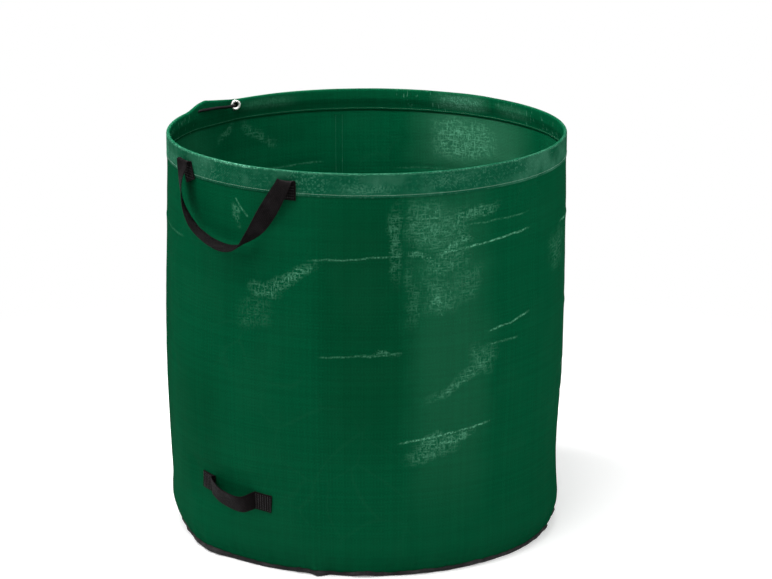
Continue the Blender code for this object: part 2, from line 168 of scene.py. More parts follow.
def settle(piece: Piece, place: Matrix | None = None) -> None:
    """Move a piece to its place and put that place into its mesh."""
    if place is not None:
        piece.matrix_world = place
    take(piece)
    bpy.ops.object.transform_apply(location=True, rotation=True, scale=True)


def apply_modifiers(piece: Piece) -> None:
    """Apply all modifiers of a piece, in order."""
    take(piece)
    for modifier in list(piece.modifiers):
        bpy.ops.object.modifier_apply(modifier=modifier.name)


def signed_volume(mesh: Mesh) -> float:
    """Return the volume that a closed mesh holds, negative where it is inside out."""
    mesh.calc_loop_triangles()
    corners = np.empty(len(mesh.loop_triangles) * 3, np.int32)
    mesh.loop_triangles.foreach_get("vertices", corners)
    places = np.empty(len(mesh.vertices) * 3)
    mesh.vertices.foreach_get("co", places)
    first, second, third = places.reshape(-1, 3)[corners.reshape(-1, 3)].transpose(1, 0, 2)
    return float(np.einsum("ij,ij->i", first, np.cross(second, third)).sum() / 6)


def cloth_piece(name: str, points: np.ndarray, uv: np.ndarray, joined_round: bool) -> Piece:
    """Make a closed cloth mesh of a grid of points: each row is a closed section, and rows follow each other.

    Args:
        name: The piece's name.
        points: The places, as rows by section points by 3.
        uv: The cloth's own coordinates in metres, as rows by section points by 2, with one more row than
            the points where the last row joins the first.
        joined_round: Whether the last row joins the first. If not, both ends get a cap.

    Returns:
        The piece, shaded smooth, with its UV map.
    """
    rows, sides = points.shape[:2]
    row, side = np.meshgrid(np.arange(rows if joined_round else rows - 1), np.arange(sides), indexing="ij")
    after, beside = row + 1, (side + 1) % sides
    corners = ((row, side), (row, beside), (after, beside), (after, side))
    faces = np.stack([(i % rows) * sides + j for i, j in corners], axis=-1).reshape(-1, 4).tolist()
    cloth = np.stack([uv[i, j] for i, j in corners], axis=-2).reshape(-1, 2)
    if not joined_round:
        faces += [list(range(sides)), list(range((rows - 1) * sides, rows * sides))[::-1]]
        cloth = np.concatenate([cloth, uv[0], uv[rows - 1][::-1]])
    mesh = bpy.data.meshes.new(name)
    mesh.from_pydata(points.reshape(-1, 3).tolist(), [], faces)
    mesh.uv_layers.new(name="cloth").data.foreach_set("uv", cloth.astype(np.float32).ravel())
    if signed_volume(mesh) < 0:
        mesh.flip_normals()
    mesh.shade_smooth()
    piece = bpy.data.objects.new(name, mesh)
    bpy.context.collection.objects.link(piece)
    return piece


def keep_rest_place(piece: Piece) -> None:
    """Store each point's place at rest on the mesh, so that a pattern stays on the cloth as it bends."""
    mesh = piece.data
    places = np.empty(len(mesh.vertices) * 3, np.float32)
    mesh.vertices.foreach_get("co", places)
    mesh.attributes.new("rest_place", "FLOAT_VECTOR", "POINT").data.foreach_set("vector", places)


def turned_ring(name: str, rings: Sequence[tuple[float, float]], sides: int) -> Piece:
    """Model a ring round Z: a circle is extruded and resized from edge to edge of its closed section.

    Args:
        name: The piece's name.
        rings: The radius and height of each edge round the ring, in order.
        sides: How many sides the ring has.

    Returns:
        The ring, standing at the origin.
    """
    radius, height = rings[0]
    bpy.ops.object.select_all(action="DESELECT")
    bpy.ops.mesh.primitive_circle_add(vertices=sides, radius=radius, location=(0, 0, height))
    ring = bpy.context.object
    ring.name = ring.data.name = name
    bpy.ops.object.mode_set(mode="EDIT")
    bpy.ops.mesh.select_all(action="SELECT")
    for next_radius, next_height in [*rings[1:], rings[0]]:
        rise = {"value": (0, 0, next_height - height)}
        bpy.ops.mesh.extrude_edges_move(TRANSFORM_OT_translate=rise)
        size = next_radius / radius
        bpy.ops.transform.resize(value=(size, size, 1), center_override=(0, 0, next_height))
        radius, height = next_radius, next_height
    bpy.ops.mesh.select_all(action="SELECT")
    bpy.ops.mesh.remove_doubles(threshold=0.00001)
    bpy.ops.mesh.normals_make_consistent(inside=False)
    bpy.ops.object.mode_set(mode="OBJECT")
    take(ring)
    bpy.ops.object.shade_smooth_by_angle(angle=math.radians(50))
    return ring


def swept_rod(name: str, path: Sequence[Vector], radius: float) -> Piece:
    """Model a round rod along a path.

    Args:
        name: The piece's name.
        path: The rod's middle line.
        radius: The rod's radius.

    Returns:
        The rod as a mesh with closed ends.
    """
    bpy.ops.object.select_all(action="DESELECT")
    bpy.ops.curve.primitive_nurbs_path_add()
    rod = bpy.context.object
    curve = rod.data
    curve.splines.clear()
    spline = curve.splines.new("POLY")
    spline.points.add(len(path) - 1)
    spline.points.foreach_set("co", [value for point in path for value in (*point, 1.0)])
    curve.bevel_depth = radius
    curve.bevel_resolution = 4
    curve.use_fill_caps = True
    bpy.ops.object.convert(target="MESH")
    rod = bpy.context.object
    rod.name = rod.data.name = name
    bpy.ops.object.shade_smooth_by_angle(angle=math.radians(45))
    settle(rod)
    return rod


@dataclass(frozen=True)
class Stitch:
    """Where one stitch lies: its middle, the way its thread runs and the way the cloth faces."""

    middle: Vector
    along: Vector
    facing: Vector


def sewn(name: str, stitches: Sequence[Stitch], length: float, thickness: float) -> Piece:
    """Copy one modelled stitch to every place of a seam.

    Args:
        name: The piece's name.
        stitches: Where the stitches lie.
        length: The length of one stitch.
        thickness: The thread's thickness.

    Returns:
        The seam's thread as one mesh.
    """
    bpy.ops.object.select_all(action="DESELECT")
    bpy.ops.mesh.primitive_uv_sphere_add(segments=6, ring_count=5, radius=0.5)
    model = bpy.context.object
    shape = np.array([vertex.co for vertex in model.data.vertices])
    faces = [list(face.vertices) for face in model.data.polygons]
    bpy.data.objects.remove(model, do_unlink=True)
    sizes = (thickness, thickness * 0.8, length)
    points, polygons = [], []
    for number, stitch in enumerate(stitches):
        beside = stitch.facing.cross(stitch.along).normalized()
        frame_of = np.array([beside * sizes[0], stitch.facing * sizes[1], stitch.along * sizes[2]])
        points.append(shape @ frame_of + np.array(stitch.middle))
        polygons += [[corner + number * len(shape) for corner in face] for face in faces]
    mesh = bpy.data.meshes.new(name)
    mesh.from_pydata(np.concatenate(points).tolist(), [], polygons)
    if signed_volume(mesh) < 0:
        mesh.flip_normals()
    mesh.shade_smooth()
    seam = bpy.data.objects.new(name, mesh)
    bpy.context.collection.objects.link(seam)
    return seam


# Nodes


class Graph:
    """The nodes of one material or node group, added and linked with short calls."""

    def __init__(self, tree: NodeTree) -> None:
        """Start on an empty node tree."""
        tree.nodes.clear()
        self.tree = tree

    def add(self, kind: str, inputs: Inputs | None = None, **settings: object) -> Node:
        """Add a node.

        Args:
            kind: The node's type.
            inputs: A value or another node's output for each input, by name or number.
            **settings: The node's own settings.

        Returns:
            The node.
        """
        node = self.tree.nodes.new(kind)
        for key, value in settings.items():
            setattr(node, key, value)
        for key, value in (inputs or {}).items():
            if isinstance(value, Socket):
                self.tree.links.new(value, node.inputs[key])
            else:
                node.inputs[key].default_value = value
        return node

    def math(self, operation: str, *values: Socket | float) -> Socket:
        """Add a Math node and return its result."""
        return self.add("ShaderNodeMath", dict(enumerate(values)), operation=operation).outputs[0]

    def times(self, first: Socket | float, second: Socket | float) -> Socket:
        """Multiply two numbers."""
        return self.math("MULTIPLY", first, second)

    def fitted(self, value: Socket | float, scale: Socket | float, start: Socket | float) -> Socket:
        """Multiply a number and add another."""
        return self.math("MULTIPLY_ADD", value, scale, start)

    def larger(self, first: Socket | float, second: Socket | float) -> Socket:
        """Return the larger of two numbers."""
        return self.math("MAXIMUM", first, second)

    def opposite(self, share: Socket) -> Socket:
        """Return what is left of 1."""
        return self.math("SUBTRACT", 1.0, share)

    def vector(self, operation: str, *values: Socket | Sequence[float]) -> Socket:
        """Add a Vector Math node and return its vector, or its number for a length or a product."""
        node = self.add("ShaderNodeVectorMath", dict(enumerate(values)), operation=operation)
        return node.outputs[1 if operation in ("DOT_PRODUCT", "LENGTH", "DISTANCE") else 0]

    def scaled(self, vector: Socket, size: Socket | float) -> Socket:
        """Multiply a vector by a number."""
        return self.add("ShaderNodeVectorMath", {0: vector, "Scale": size}, operation="SCALE").outputs[0]

    def split(self, vector: Socket) -> tuple[Socket, Socket]:
        """Return the first two numbers of a vector."""
        node = self.add("ShaderNodeSeparateXYZ", {0: vector})
        return node.outputs[0], node.outputs[1]

    def joined(self, first: Socket | float, second: Socket | float) -> Socket:
        """Make a vector of two numbers."""
        return self.add("ShaderNodeCombineXYZ", {0: first, 1: second}).outputs[0]

    def choose(self, share: Socket | float, first: Socket | float, second: Socket | float) -> Socket:
        """Mix two numbers."""
        return self.add("ShaderNodeMix", {0: share, 2: first, 3: second}, data_type="FLOAT").outputs[0]

    def colour(self, share: Socket | float, first: Socket | Colour, second: Socket | Colour) -> Socket:
        """Mix two colours."""
        both = [value if isinstance(value, Socket) else (*value, 1.0) for value in (first, second)]
        return self.add("ShaderNodeMix", {0: share, 6: both[0], 7: both[1]}, data_type="RGBA").outputs[2]

    def ramp(self, value: Socket, low: float, high: float, start: float = 0.0, end: float = 1.0) -> Socket:
        """Ease from start to end as a value goes from low to high."""
        inputs = {0: value, 1: low, 2: high, 3: start, 4: end}
        return self.add("ShaderNodeMapRange", inputs, interpolation_type="SMOOTHSTEP").outputs[0]

    def noise(self, place: Socket, scale: float, detail: float = 2.0, roughness: float = 0.5) -> Socket:
        """Add a Noise Texture and return its value."""
        inputs = {"Vector": place, "Scale": scale, "Detail": detail, "Roughness": roughness}
        return self.add("ShaderNodeTexNoise", inputs).outputs[0]

    def drift(self, place: Socket, scale: float, detail: float) -> Socket:
        """Add a Noise Texture and return its colour, each part from 0 to 1."""
        inputs = {"Vector": place, "Scale": scale, "Detail": detail}
        return self.add("ShaderNodeTexNoise", inputs).outputs[1]

    def group(self, tree: NodeTree, inputs: Inputs) -> Node:
        """Add a node group with its inputs and return its node."""
        return self.add("ShaderNodeGroup", inputs, node_tree=tree)

    def uv(self) -> Socket:
        """Read the cloth's own coordinates, in metres."""
        return self.add("ShaderNodeUVMap", uv_map="cloth").outputs[0]

    def rest_place(self) -> Socket:
        """Read the place that a point of the cloth has at rest."""
        return self.add("ShaderNodeAttribute", attribute_name="rest_place").outputs["Vector"]

    def object_place(self) -> Socket:
        """Read the place on the object."""
        return self.add("ShaderNodeTexCoord").outputs["Object"]

    def bump(self, height: Socket) -> Socket:
        """Turn a height in metres into a normal."""
        return self.add("ShaderNodeBump", {"Height": height, "Distance": 1.0, "Strength": 1.0}).outputs[0]


def new_material(name: str, values: dict[str, object]) -> tuple[Material, Graph, Node]:
    """Start a material.

    Args:
        name: The material's name.
        values: Constant values for the sockets of its Principled shader.

    Returns:
        The material, its graph and its shader node.
    """
    material = bpy.data.materials.new(name)
    material.use_nodes = True
    graph = Graph(material.node_tree)
    shader = graph.add("ShaderNodeBsdfPrincipled", values)
    graph.add("ShaderNodeOutputMaterial", {"Surface": shader.outputs[0]})
    return material, graph, shader


def wire(graph: Graph, shader: Node, sockets: Sockets) -> None:
    """Link results to the sockets of a shader."""
    for key, value in sockets.items():
        graph.tree.links.new(value, shader.inputs[key])


def cover(graph: Graph, shader: Node, colour: Socket, roughness: Socket, height: Socket) -> None:
    """Link a finish's colour, roughness and relief to its shader."""
    wire(graph, shader, {"Base Color": colour, "Roughness": roughness, "Normal": graph.bump(height)})


class Kind(Enum):
    """The kinds of socket that a node group has."""

    NUMBER = "NodeSocketFloat"
    PLACE = "NodeSocketVector"


def effect(*outputs: str, **inputs: Kind) -> Callable[[Pattern], Callable[[], NodeTree]]:
    """Make a decorator that turns a drawn pattern into a node group, which is built once.

    Args:
        *outputs: The names of the group's outputs, all numbers.
        **inputs: The kind of each input.

    Returns:
        The decorator.
    """

    def grouped(pattern: Pattern) -> Callable[[], NodeTree]:
        """Return a function that gives the pattern's group."""

        @cache
        def built() -> NodeTree:
            """Build the group and name it after the pattern."""
            tree = bpy.data.node_groups.new(pattern.__name__, "ShaderNodeTree")
            graph = Graph(tree)
            for key, kind in inputs.items():
                tree.interface.new_socket(key, in_out="INPUT", socket_type=kind.value)
            for key in outputs:
                tree.interface.new_socket(key, in_out="OUTPUT", socket_type=Kind.NUMBER.value)
            given = graph.add("NodeGroupInput").outputs
            wire(graph, graph.add("NodeGroupOutput"), pattern(graph, {key: given[key] for key in inputs}))
            return tree

        return built

    return grouped


class Effects:
    """Patterns that several finishes share, each a node group.

    Each is drawn from its graph and the group's inputs, and returns the group's outputs by name.
    """

    @staticmethod
    @effect(
        "Height", "Tape", "Upright", "Crossing",
        Place=Kind.PLACE, Pitch=Kind.NUMBER, Tilt=Kind.NUMBER,
    )
    def tape_weave(graph: Graph, given: Sockets) -> Sockets:
        """Draw flat tapes woven over and under each other.

        Args:
            graph: The group's graph.
            given: The group's inputs by name.

        Returns:
            The cloth's height, each tape's own value, which of the two tapes
            lies on top, and each crossing's own value.
        """
        scaled = graph.scaled(given["Place"], graph.math("DIVIDE", 1.0, given["Pitch"]))
        cell = graph.vector("FLOOR", scaled)
        column, row = graph.split(cell)
        left, low = graph.split(graph.vector("SUBTRACT", scaled, cell))
        level = graph.math("FLOORED_MODULO", graph.math("ADD", column, row), 2.0)
        across = graph.fitted(graph.choose(level, left, low), 2.0, -1.0)
        along = graph.fitted(graph.choose(level, low, left), 2.0, -1.0)
        crown = graph.opposite(graph.math("POWER", graph.math("ABSOLUTE", across), 3.0))
        dip = graph.math("POWER", graph.math("ABSOLUTE", along), 2.5)
        height = graph.math("SUBTRACT", crown, graph.times(dip, 0.55))
        random = graph.add("ShaderNodeTexWhiteNoise", {"Vector": cell}, noise_dimensions="2D")
        turned = graph.vector("SUBTRACT", random.outputs["Color"], (0.5, 0.5, 0.5))
        slope = graph.vector("DOT_PRODUCT", turned, graph.joined(left, low))
        height = graph.fitted(slope, given["Tilt"], height)
        upright_tape = graph.add("ShaderNodeTexWhiteNoise", {"W": column}, noise_dimensions="1D").outputs[0]
        shifted = graph.math("ADD", row, 71.5)
        level_tape = graph.add("ShaderNodeTexWhiteNoise", {"W": shifted}, noise_dimensions="1D").outputs[0]
        return {
            "Height": height,
            "Tape": graph.choose(level, upright_tape, level_tape),
            "Upright": graph.opposite(level),
            "Crossing": random.outputs["Value"],
        }

    @staticmethod
    @effect("Line", Place=Kind.PLACE, Start=Kind.PLACE, End=Kind.PLACE, Width=Kind.NUMBER)
    def crease_line(graph: Graph, given: Sockets) -> Sockets:
        """Draw one packing crease: a thin line between two points of the cloth that fades at its ends.

        Args:
            graph: The group's graph.
            given: The group's inputs by name.

        Returns:
            The thin line.
        """
        line = graph.vector("SUBTRACT", given["End"], given["Start"])
        off = graph.vector("SUBTRACT", given["Place"], given["Start"])
        reach, square = graph.vector("DOT_PRODUCT", off, line), graph.vector("DOT_PRODUCT", line, line)
        share = graph.math("DIVIDE", reach, square)
        inside = graph.add("ShaderNodeClamp", {0: share}).outputs[0]
        apart = graph.vector("LENGTH", graph.vector("SUBTRACT", off, graph.scaled(line, inside)))
        fade = graph.ramp(graph.times(inside, graph.opposite(inside)), 0.0, 0.12)
        near = graph.opposite(graph.math("DIVIDE", apart, given["Width"]))
        return {"Line": graph.times(graph.larger(near, 0.0), fade)}

    @staticmethod
    @effect("Mask", Place=Kind.PLACE, Centre=Kind.PLACE, Reach=Kind.PLACE, Slant=Kind.NUMBER)
    def soft_patch(graph: Graph, given: Sockets) -> Sockets:
        """Draw one soft-edged rounded patch on the cloth, which may lie aslant.

        Args:
            graph: The group's graph.
            given: The group's inputs by name.

        Returns:
            The patch's mask, 1 in the middle.
        """
        along, rise = graph.split(graph.vector("SUBTRACT", given["Place"], given["Centre"]))
        rise = graph.math("SUBTRACT", rise, graph.times(along, given["Slant"]))
        away = graph.vector("DIVIDE", graph.joined(along, rise), given["Reach"])
        square = graph.vector("MULTIPLY", away, away)
        apart = graph.math("POWER", graph.vector("DOT_PRODUCT", square, square), 0.25)
        return {"Mask": graph.ramp(apart, 0.35, 1.15, 1.0, 0.0)}

    @staticmethod
    @effect("Height", "Ridge", Place=Kind.PLACE, Scale=Kind.NUMBER, Spread=Kind.NUMBER)
    def crumple(graph: Graph, given: Sockets) -> Sockets:
        """Draw the flat facets and fine ridges of film-covered cloth that was folded small.

        Args:
            graph: The group's graph.
            given: The group's inputs by name.

        Returns:
            The height of the facets and the fine ridges between them.
        """
        shift = graph.drift(given["Place"], 5.0, 2.0)
        bent = graph.vector("ADD", given["Place"], graph.scaled(shift, 0.12))
        spread = {"Vector": bent, "Scale": given["Scale"]}
        edge = graph.add("ShaderNodeTexVoronoi", spread, feature="DISTANCE_TO_EDGE").outputs["Distance"]
        patch = graph.noise(given["Place"], 4.0, 2.0)
        shown = graph.times(graph.ramp(patch, 0.45, 0.62), given["Spread"])
        ridge = graph.times(graph.ramp(edge, 0.0, 0.035, 1.0, 0.0), shown)
        return {"Height": graph.math("MINIMUM", edge, 0.35), "Ridge": ridge}

    @staticmethod
    @effect("Rubbed", "Grain", Place=Kind.PLACE, Size=Kind.NUMBER, Amount=Kind.NUMBER)
    def soft_wear(graph: Graph, given: Sockets) -> Sockets:
        """Draw faint dust and rubbing, in cloudy patches broken up by fine grain.

        Args:
            graph: The group's graph.
            given: The group's inputs by name.

        Returns:
            The rubbed mask and the fine grain.
        """
        scaled = graph.scaled(given["Place"], given["Size"])
        cloud = graph.ramp(graph.noise(scaled, 1.0, 3.0), 0.42, 0.7)
        grain = graph.noise(scaled, 40.0, 3.0, 0.65)
        rubbed = graph.times(graph.times(cloud, grain), given["Amount"])
        return {"Rubbed": rubbed, "Grain": grain}

    @staticmethod
    @effect("Height", "Yarn", Place=Kind.PLACE, Rib=Kind.NUMBER, Float=Kind.NUMBER)
    def ribbed_webbing(graph: Graph, given: Sockets) -> Sockets:
        """Draw narrow ribs of yarn that run along a strap and step past each other.

        Args:
            graph: The group's graph.
            given: The group's inputs by name.

        Returns:
            The height and each yarn float's own value.
        """
        across, along = graph.split(given["Place"])
        rib = graph.math("DIVIDE", across, given["Rib"])
        number = graph.math("FLOOR", rib)
        step = graph.fitted(number, 0.5, graph.math("DIVIDE", along, given["Float"]))
        start = graph.math("FLOOR", step)
        side = graph.fitted(graph.math("SUBTRACT", rib, number), 2.0, -1.0)
        end = graph.fitted(graph.math("SUBTRACT", step, start), 2.0, -1.0)
        crown = graph.opposite(graph.math("POWER", graph.math("ABSOLUTE", side), 2.0))
        fall = graph.math("POWER", graph.math("ABSOLUTE", end), 4.0)
        height = graph.times(crown, graph.opposite(graph.times(fall, 0.6)))
        yarn = {"Vector": graph.joined(number, start)}
        own = graph.add("ShaderNodeTexWhiteNoise", yarn, noise_dimensions="2D")
        return {"Height": height, "Yarn": own.outputs["Value"]}


# Finishes


@dataclass(frozen=True)
class Crease:
    """A packing crease on the wall, from one angle and height to another."""

    start: tuple[float, float]
    end: tuple[float, float]
    rise: float = 0.0008
    half_width: float = 0.008
    paleness: float = 0.0

    def ends_on_cloth(self) -> tuple[tuple[float, float], tuple[float, float]]:
        """Return both ends in the cloth's own coordinates."""
        ends = (self.start, self.end)
        first, second = ((math.radians(angle) * RIM_RADIUS, height) for angle, height in ends)
        return first, second


@dataclass(frozen=True)
class Worn:
    """A soft patch of lighter or darker colour: its middle, its half sizes and how strong it is. Most serve
    as painted shade, painted sheen and painted glints.
    """

    angle: float
    height: float
    half_angle: float
    half_height: float
    share: float
    slant: float = 0.0


def soft_patches(graph: Graph, bent: Socket, patches: Sequence[Worn]) -> Socket:
    """Draw soft patches on cloth.

    Args:
        graph: The material's graph.
        bent: The cloth's own coordinates, shifted about a little.
        patches: The patches.

    Returns:
        How strong they are at each point.
    """
    found: Socket | float = 0.0
    round_scale = math.radians(1) * RIM_RADIUS
    for patch in patches:
        inputs = {
            "Place": bent,
            "Centre": (patch.angle * round_scale, patch.height, 0),
            "Reach": (patch.half_angle * round_scale, patch.half_height, 1),
            "Slant": patch.slant,
        }
        mask = graph.group(Effects.soft_patch(), inputs).outputs["Mask"]
        found = graph.larger(graph.times(mask, patch.share), found)
    return found


@dataclass(frozen=True)
class LaminatedCloth:
    """Green tape cloth under a thin clear film, with packing creases, patches of painted shade, pale flecks
    of painted sheen and glints, and faint dust.
    """

    pitch: float = 0.0026
    # deep is the deeper green of the random tone and of the painted shade.
    deep: Colour = (0.0003, 0.0385, 0.0142)
    plain: Colour = (0.0004, 0.0515, 0.0200)
    # pale is the colour of the painted sheen and glints, of the pale crease lines and of real dust.
    pale: Colour = (0.105, 0.340, 0.210)
    roughness: float = 0.42
    film: float = 0.011
    weave_height: float = 0.00017
    facet_height: float = 0.0009
    # Patches of painted shade, drawn in the deeper green.
    painted_shade: Sequence[Worn] = (
        Worn(41.0, 0.44, 17.0, 0.30, 1.0),
        Worn(-42.0, 0.30, 14.0, 0.22, 0.6),
        Worn(-14.0, 0.22, 16.0, 0.16, 0.7),
    )
    # Broad patches of painted sheen: the film's soft highlight beside the front fold and on the inside at the
    # back.
    painted_sheen: Sequence[Worn] = (
        Worn(66.0, 0.42, 15.0, 0.36, 0.040),
        Worn(62.0, 0.590, 9.5, 0.060, 0.070),
        Worn(64.0, 0.482, 10.5, 0.052, 0.050),
        Worn(186.0, 0.60, 24.0, 0.070, 0.120),
        Worn(140.0, 0.40, 22.0, 0.26, 0.050),
        Worn(-70.0, 0.44, 18.0, 0.26, 0.050),
        Worn(190.0, 0.52, 14.0, 0.11, 0.060),
    )
    # Patches of painted glints: pale flecks where the film's highlight catches single tapes.
    painted_glints: Sequence[Worn] = (
        Worn(58.2, 0.592, 6.0, 0.048, 0.38),
        Worn(64.5, 0.584, 7.5, 0.040, 0.30, 0.20),
        Worn(73.0, 0.606, 9.5, 0.0125, 0.52, 0.24),
        Worn(66.5, 0.5535, 7.0, 0.0085, 0.62, 0.20),
        Worn(64.5, 0.530, 8.5, 0.020, 0.34, 0.14),
        Worn(49.6, 0.565, 2.5, 0.074, 0.38),
        Worn(56.4, 0.5395, 4.2, 0.0060, 0.62, -0.06),
        Worn(54.0, 0.478, 1.8, 0.060, 0.20),
        Worn(61.5, 0.478, 6.0, 0.036, 0.30),
        Worn(70.5, 0.492, 5.5, 0.034, 0.22, 0.20),
        Worn(59.8, 0.468, 2.6, 0.0065, 0.52),
        Worn(69.5, 0.337, 12.0, 0.012, 0.44, 0.43),
        Worn(76.0, 0.362, 5.0, 0.028, 0.28),
        Worn(64.0, 0.235, 9.5, 0.010, 0.62, 0.16),
        Worn(60.0, 0.218, 9.0, 0.014, 0.40, 0.14),
        Worn(20.5, 0.505, 8.5, 0.0135, 0.58, 0.50),
        Worn(-91.0, 0.620, 4.0, 0.012, 0.30, -0.4),
        Worn(-104.0, 0.612, 7.0, 0.014, 0.28, 0.5),
        Worn(12.0, 0.480, 6.0, 0.012, 0.46, 0.06),
        Worn(9.5, 0.442, 6.0, 0.036, 0.15),
        Worn(3.6, 0.598, 2.0, 0.017, 0.55, -0.70),
        Worn(45.0, 0.383, 5.5, 0.004, 0.48),
        Worn(190.5, 0.598, 12.0, 0.036, 0.60),
        Worn(112.0, 0.505, 8.0, 0.036, 0.26),
        Worn(139.0, 0.305, 11.0, 0.013, 0.36, -0.42),
        Worn(166.0, 0.455, 7.0, 0.034, 0.22),
        Worn(208.0, 0.370, 9.0, 0.014, 0.38, 0.50),
        Worn(-74.0, 0.530, 8.0, 0.040, 0.26),
        Worn(-52.0, 0.318, 9.0, 0.013, 0.36, 0.45),
        Worn(-104.0, 0.345, 6.5, 0.040, 0.22),
    )

    def material(self, name: str, creases: Sequence[Crease]) -> Material:
        """Make the cloth's material.

        Args:
            name: The material's name.
            creases: The packing creases that are drawn as thin pale lines, partly the film's whitening and
                partly painted highlight.

        Returns:
            The material.
        """
        constants = {"Specular IOR Level": 0.0, "Coat Weight": self.film, "Coat Roughness": 0.32}
        made, graph, shader = new_material(name, constants)
        place, cloth = graph.rest_place(), graph.uv()
        weave = graph.group(Effects.tape_weave(), {"Place": cloth, "Pitch": self.pitch, "Tilt": 0.9})
        crumple = graph.group(Effects.crumple(), {"Place": place, "Scale": 11.0, "Spread": 1.0})
        wear = graph.group(Effects.soft_wear(), {"Place": place, "Size": 9.0, "Amount": 0.5})
        bent = self.warped(graph, cloth, place, 16.0, 0.045)
        line = self.creases(graph, self.warped(graph, cloth, place, 42.0, 0.006), creases)
        # Random deeper tone, and over it the patches of painted shade.
        dark = graph.fitted(graph.noise(place, 3.2, 2.0), 0.5, -0.1)
        dark = graph.larger(dark, soft_patches(graph, bent, self.painted_shade))
        body = graph.colour(dark, self.plain, self.deep)
        tape = graph.fitted(weave.outputs["Tape"], 0.20, 0.90)
        body = graph.add("ShaderNodeHueSaturation", {"Value": tape, "Color": body}).outputs[0]
        # Pale flecks at single crossings and along short tape streaks: the painted glints.
        fleck = graph.times(graph.ramp(weave.outputs["Crossing"], 0.45, 1.0), 0.36)
        fleck = graph.fitted(self.streaks(graph, cloth), 0.60, fleck)
        grain = graph.ramp(wear.outputs["Grain"], 0.34, 0.62, 0.45, 1.0)
        # rubbed gathers the painted glints and painted sheen, the pale crease lines and crinkles, and faint
        # real dust.
        rubbed = graph.times(soft_patches(graph, bent, self.painted_glints), graph.times(fleck, grain))
        rubbed = graph.math("ADD", rubbed, soft_patches(graph, bent, self.painted_sheen))
        # Pale dotted lines along the creases and crinkles: partly the film's whitening, partly painted
        # highlight.
        dotted = graph.ramp(weave.outputs["Crossing"], 0.15, 0.85, 0.30, 1.0)
        dotted = graph.times(dotted, graph.ramp(wear.outputs["Grain"], 0.36, 0.58, 0.25, 0.90))
        broken = graph.times(line, dotted)
        ridge = graph.times(graph.times(crumple.outputs["Ridge"], grain), 0.012)
        rubbed = graph.larger(graph.larger(rubbed, broken), ridge)
        rubbed = graph.larger(rubbed, graph.times(wear.outputs["Rubbed"], 0.03))
        colour = graph.colour(rubbed, body, self.pale)
        uneven = graph.fitted(weave.outputs["Crossing"], 0.16, self.roughness - 0.08)
        uneven = graph.fitted(graph.noise(place, 24.0, 3.0), 0.14, uneven)
        height = graph.times(weave.outputs["Height"], self.weave_height)
        height = graph.fitted(crumple.outputs["Height"], self.facet_height, height)
        height = graph.fitted(line, 0.0005, height)
        height = graph.fitted(graph.noise(place, 60.0, 2.0), 0.0003, height)
        cover(graph, shader, colour, uneven, height)
        return made

    def warped(self, graph: Graph, cloth: Socket, place: Socket, scale: float, amount: float) -> Socket:
        """Shift the cloth's coordinates about, so that what is drawn on them has an uneven edge.

        Args:
            graph: The material's graph.
            cloth: The cloth's own coordinates.
            place: The place at rest.
            scale: How many waves the edge has to a metre.
            amount: How far it shifts, in metres.

        Returns:
            The shifted coordinates.
        """
        shift = graph.drift(place, scale, 3.0)
        shift = graph.vector("SUBTRACT", shift, (0.5, 0.5, 0.5))
        shift = graph.vector("MULTIPLY", graph.scaled(shift, amount), (1.0, 1.0, 0.0))
        return graph.vector("ADD", cloth, shift)

    def streaks(self, graph: Graph, cloth: Socket) -> Socket:
        """Draw fine short streaks along both directions of the tapes."""
        level = graph.noise(graph.vector("MULTIPLY", cloth, (0.20, 1.0, 1.0)), 300.0, 2.0)
        upright = graph.noise(graph.vector("MULTIPLY", cloth, (1.0, 0.20, 1.0)), 300.0, 2.0)
        return graph.larger(graph.ramp(level, 0.47, 0.66), graph.ramp(upright, 0.49, 0.68))

    def creases(self, graph: Graph, bent: Socket, creases: Sequence[Crease]) -> Socket:
        """Draw the packing creases as thin lines."""
        line: Socket | float = 0.0
        for crease in creases:
            start, end = crease.ends_on_cloth()
            inputs = {"Place": bent, "Start": (*start, 0), "End": (*end, 0), "Width": 0.0025}
            drawn = graph.group(Effects.crease_line(), inputs).outputs["Line"]
            line = graph.larger(graph.times(drawn, crease.paleness), line)
        return line


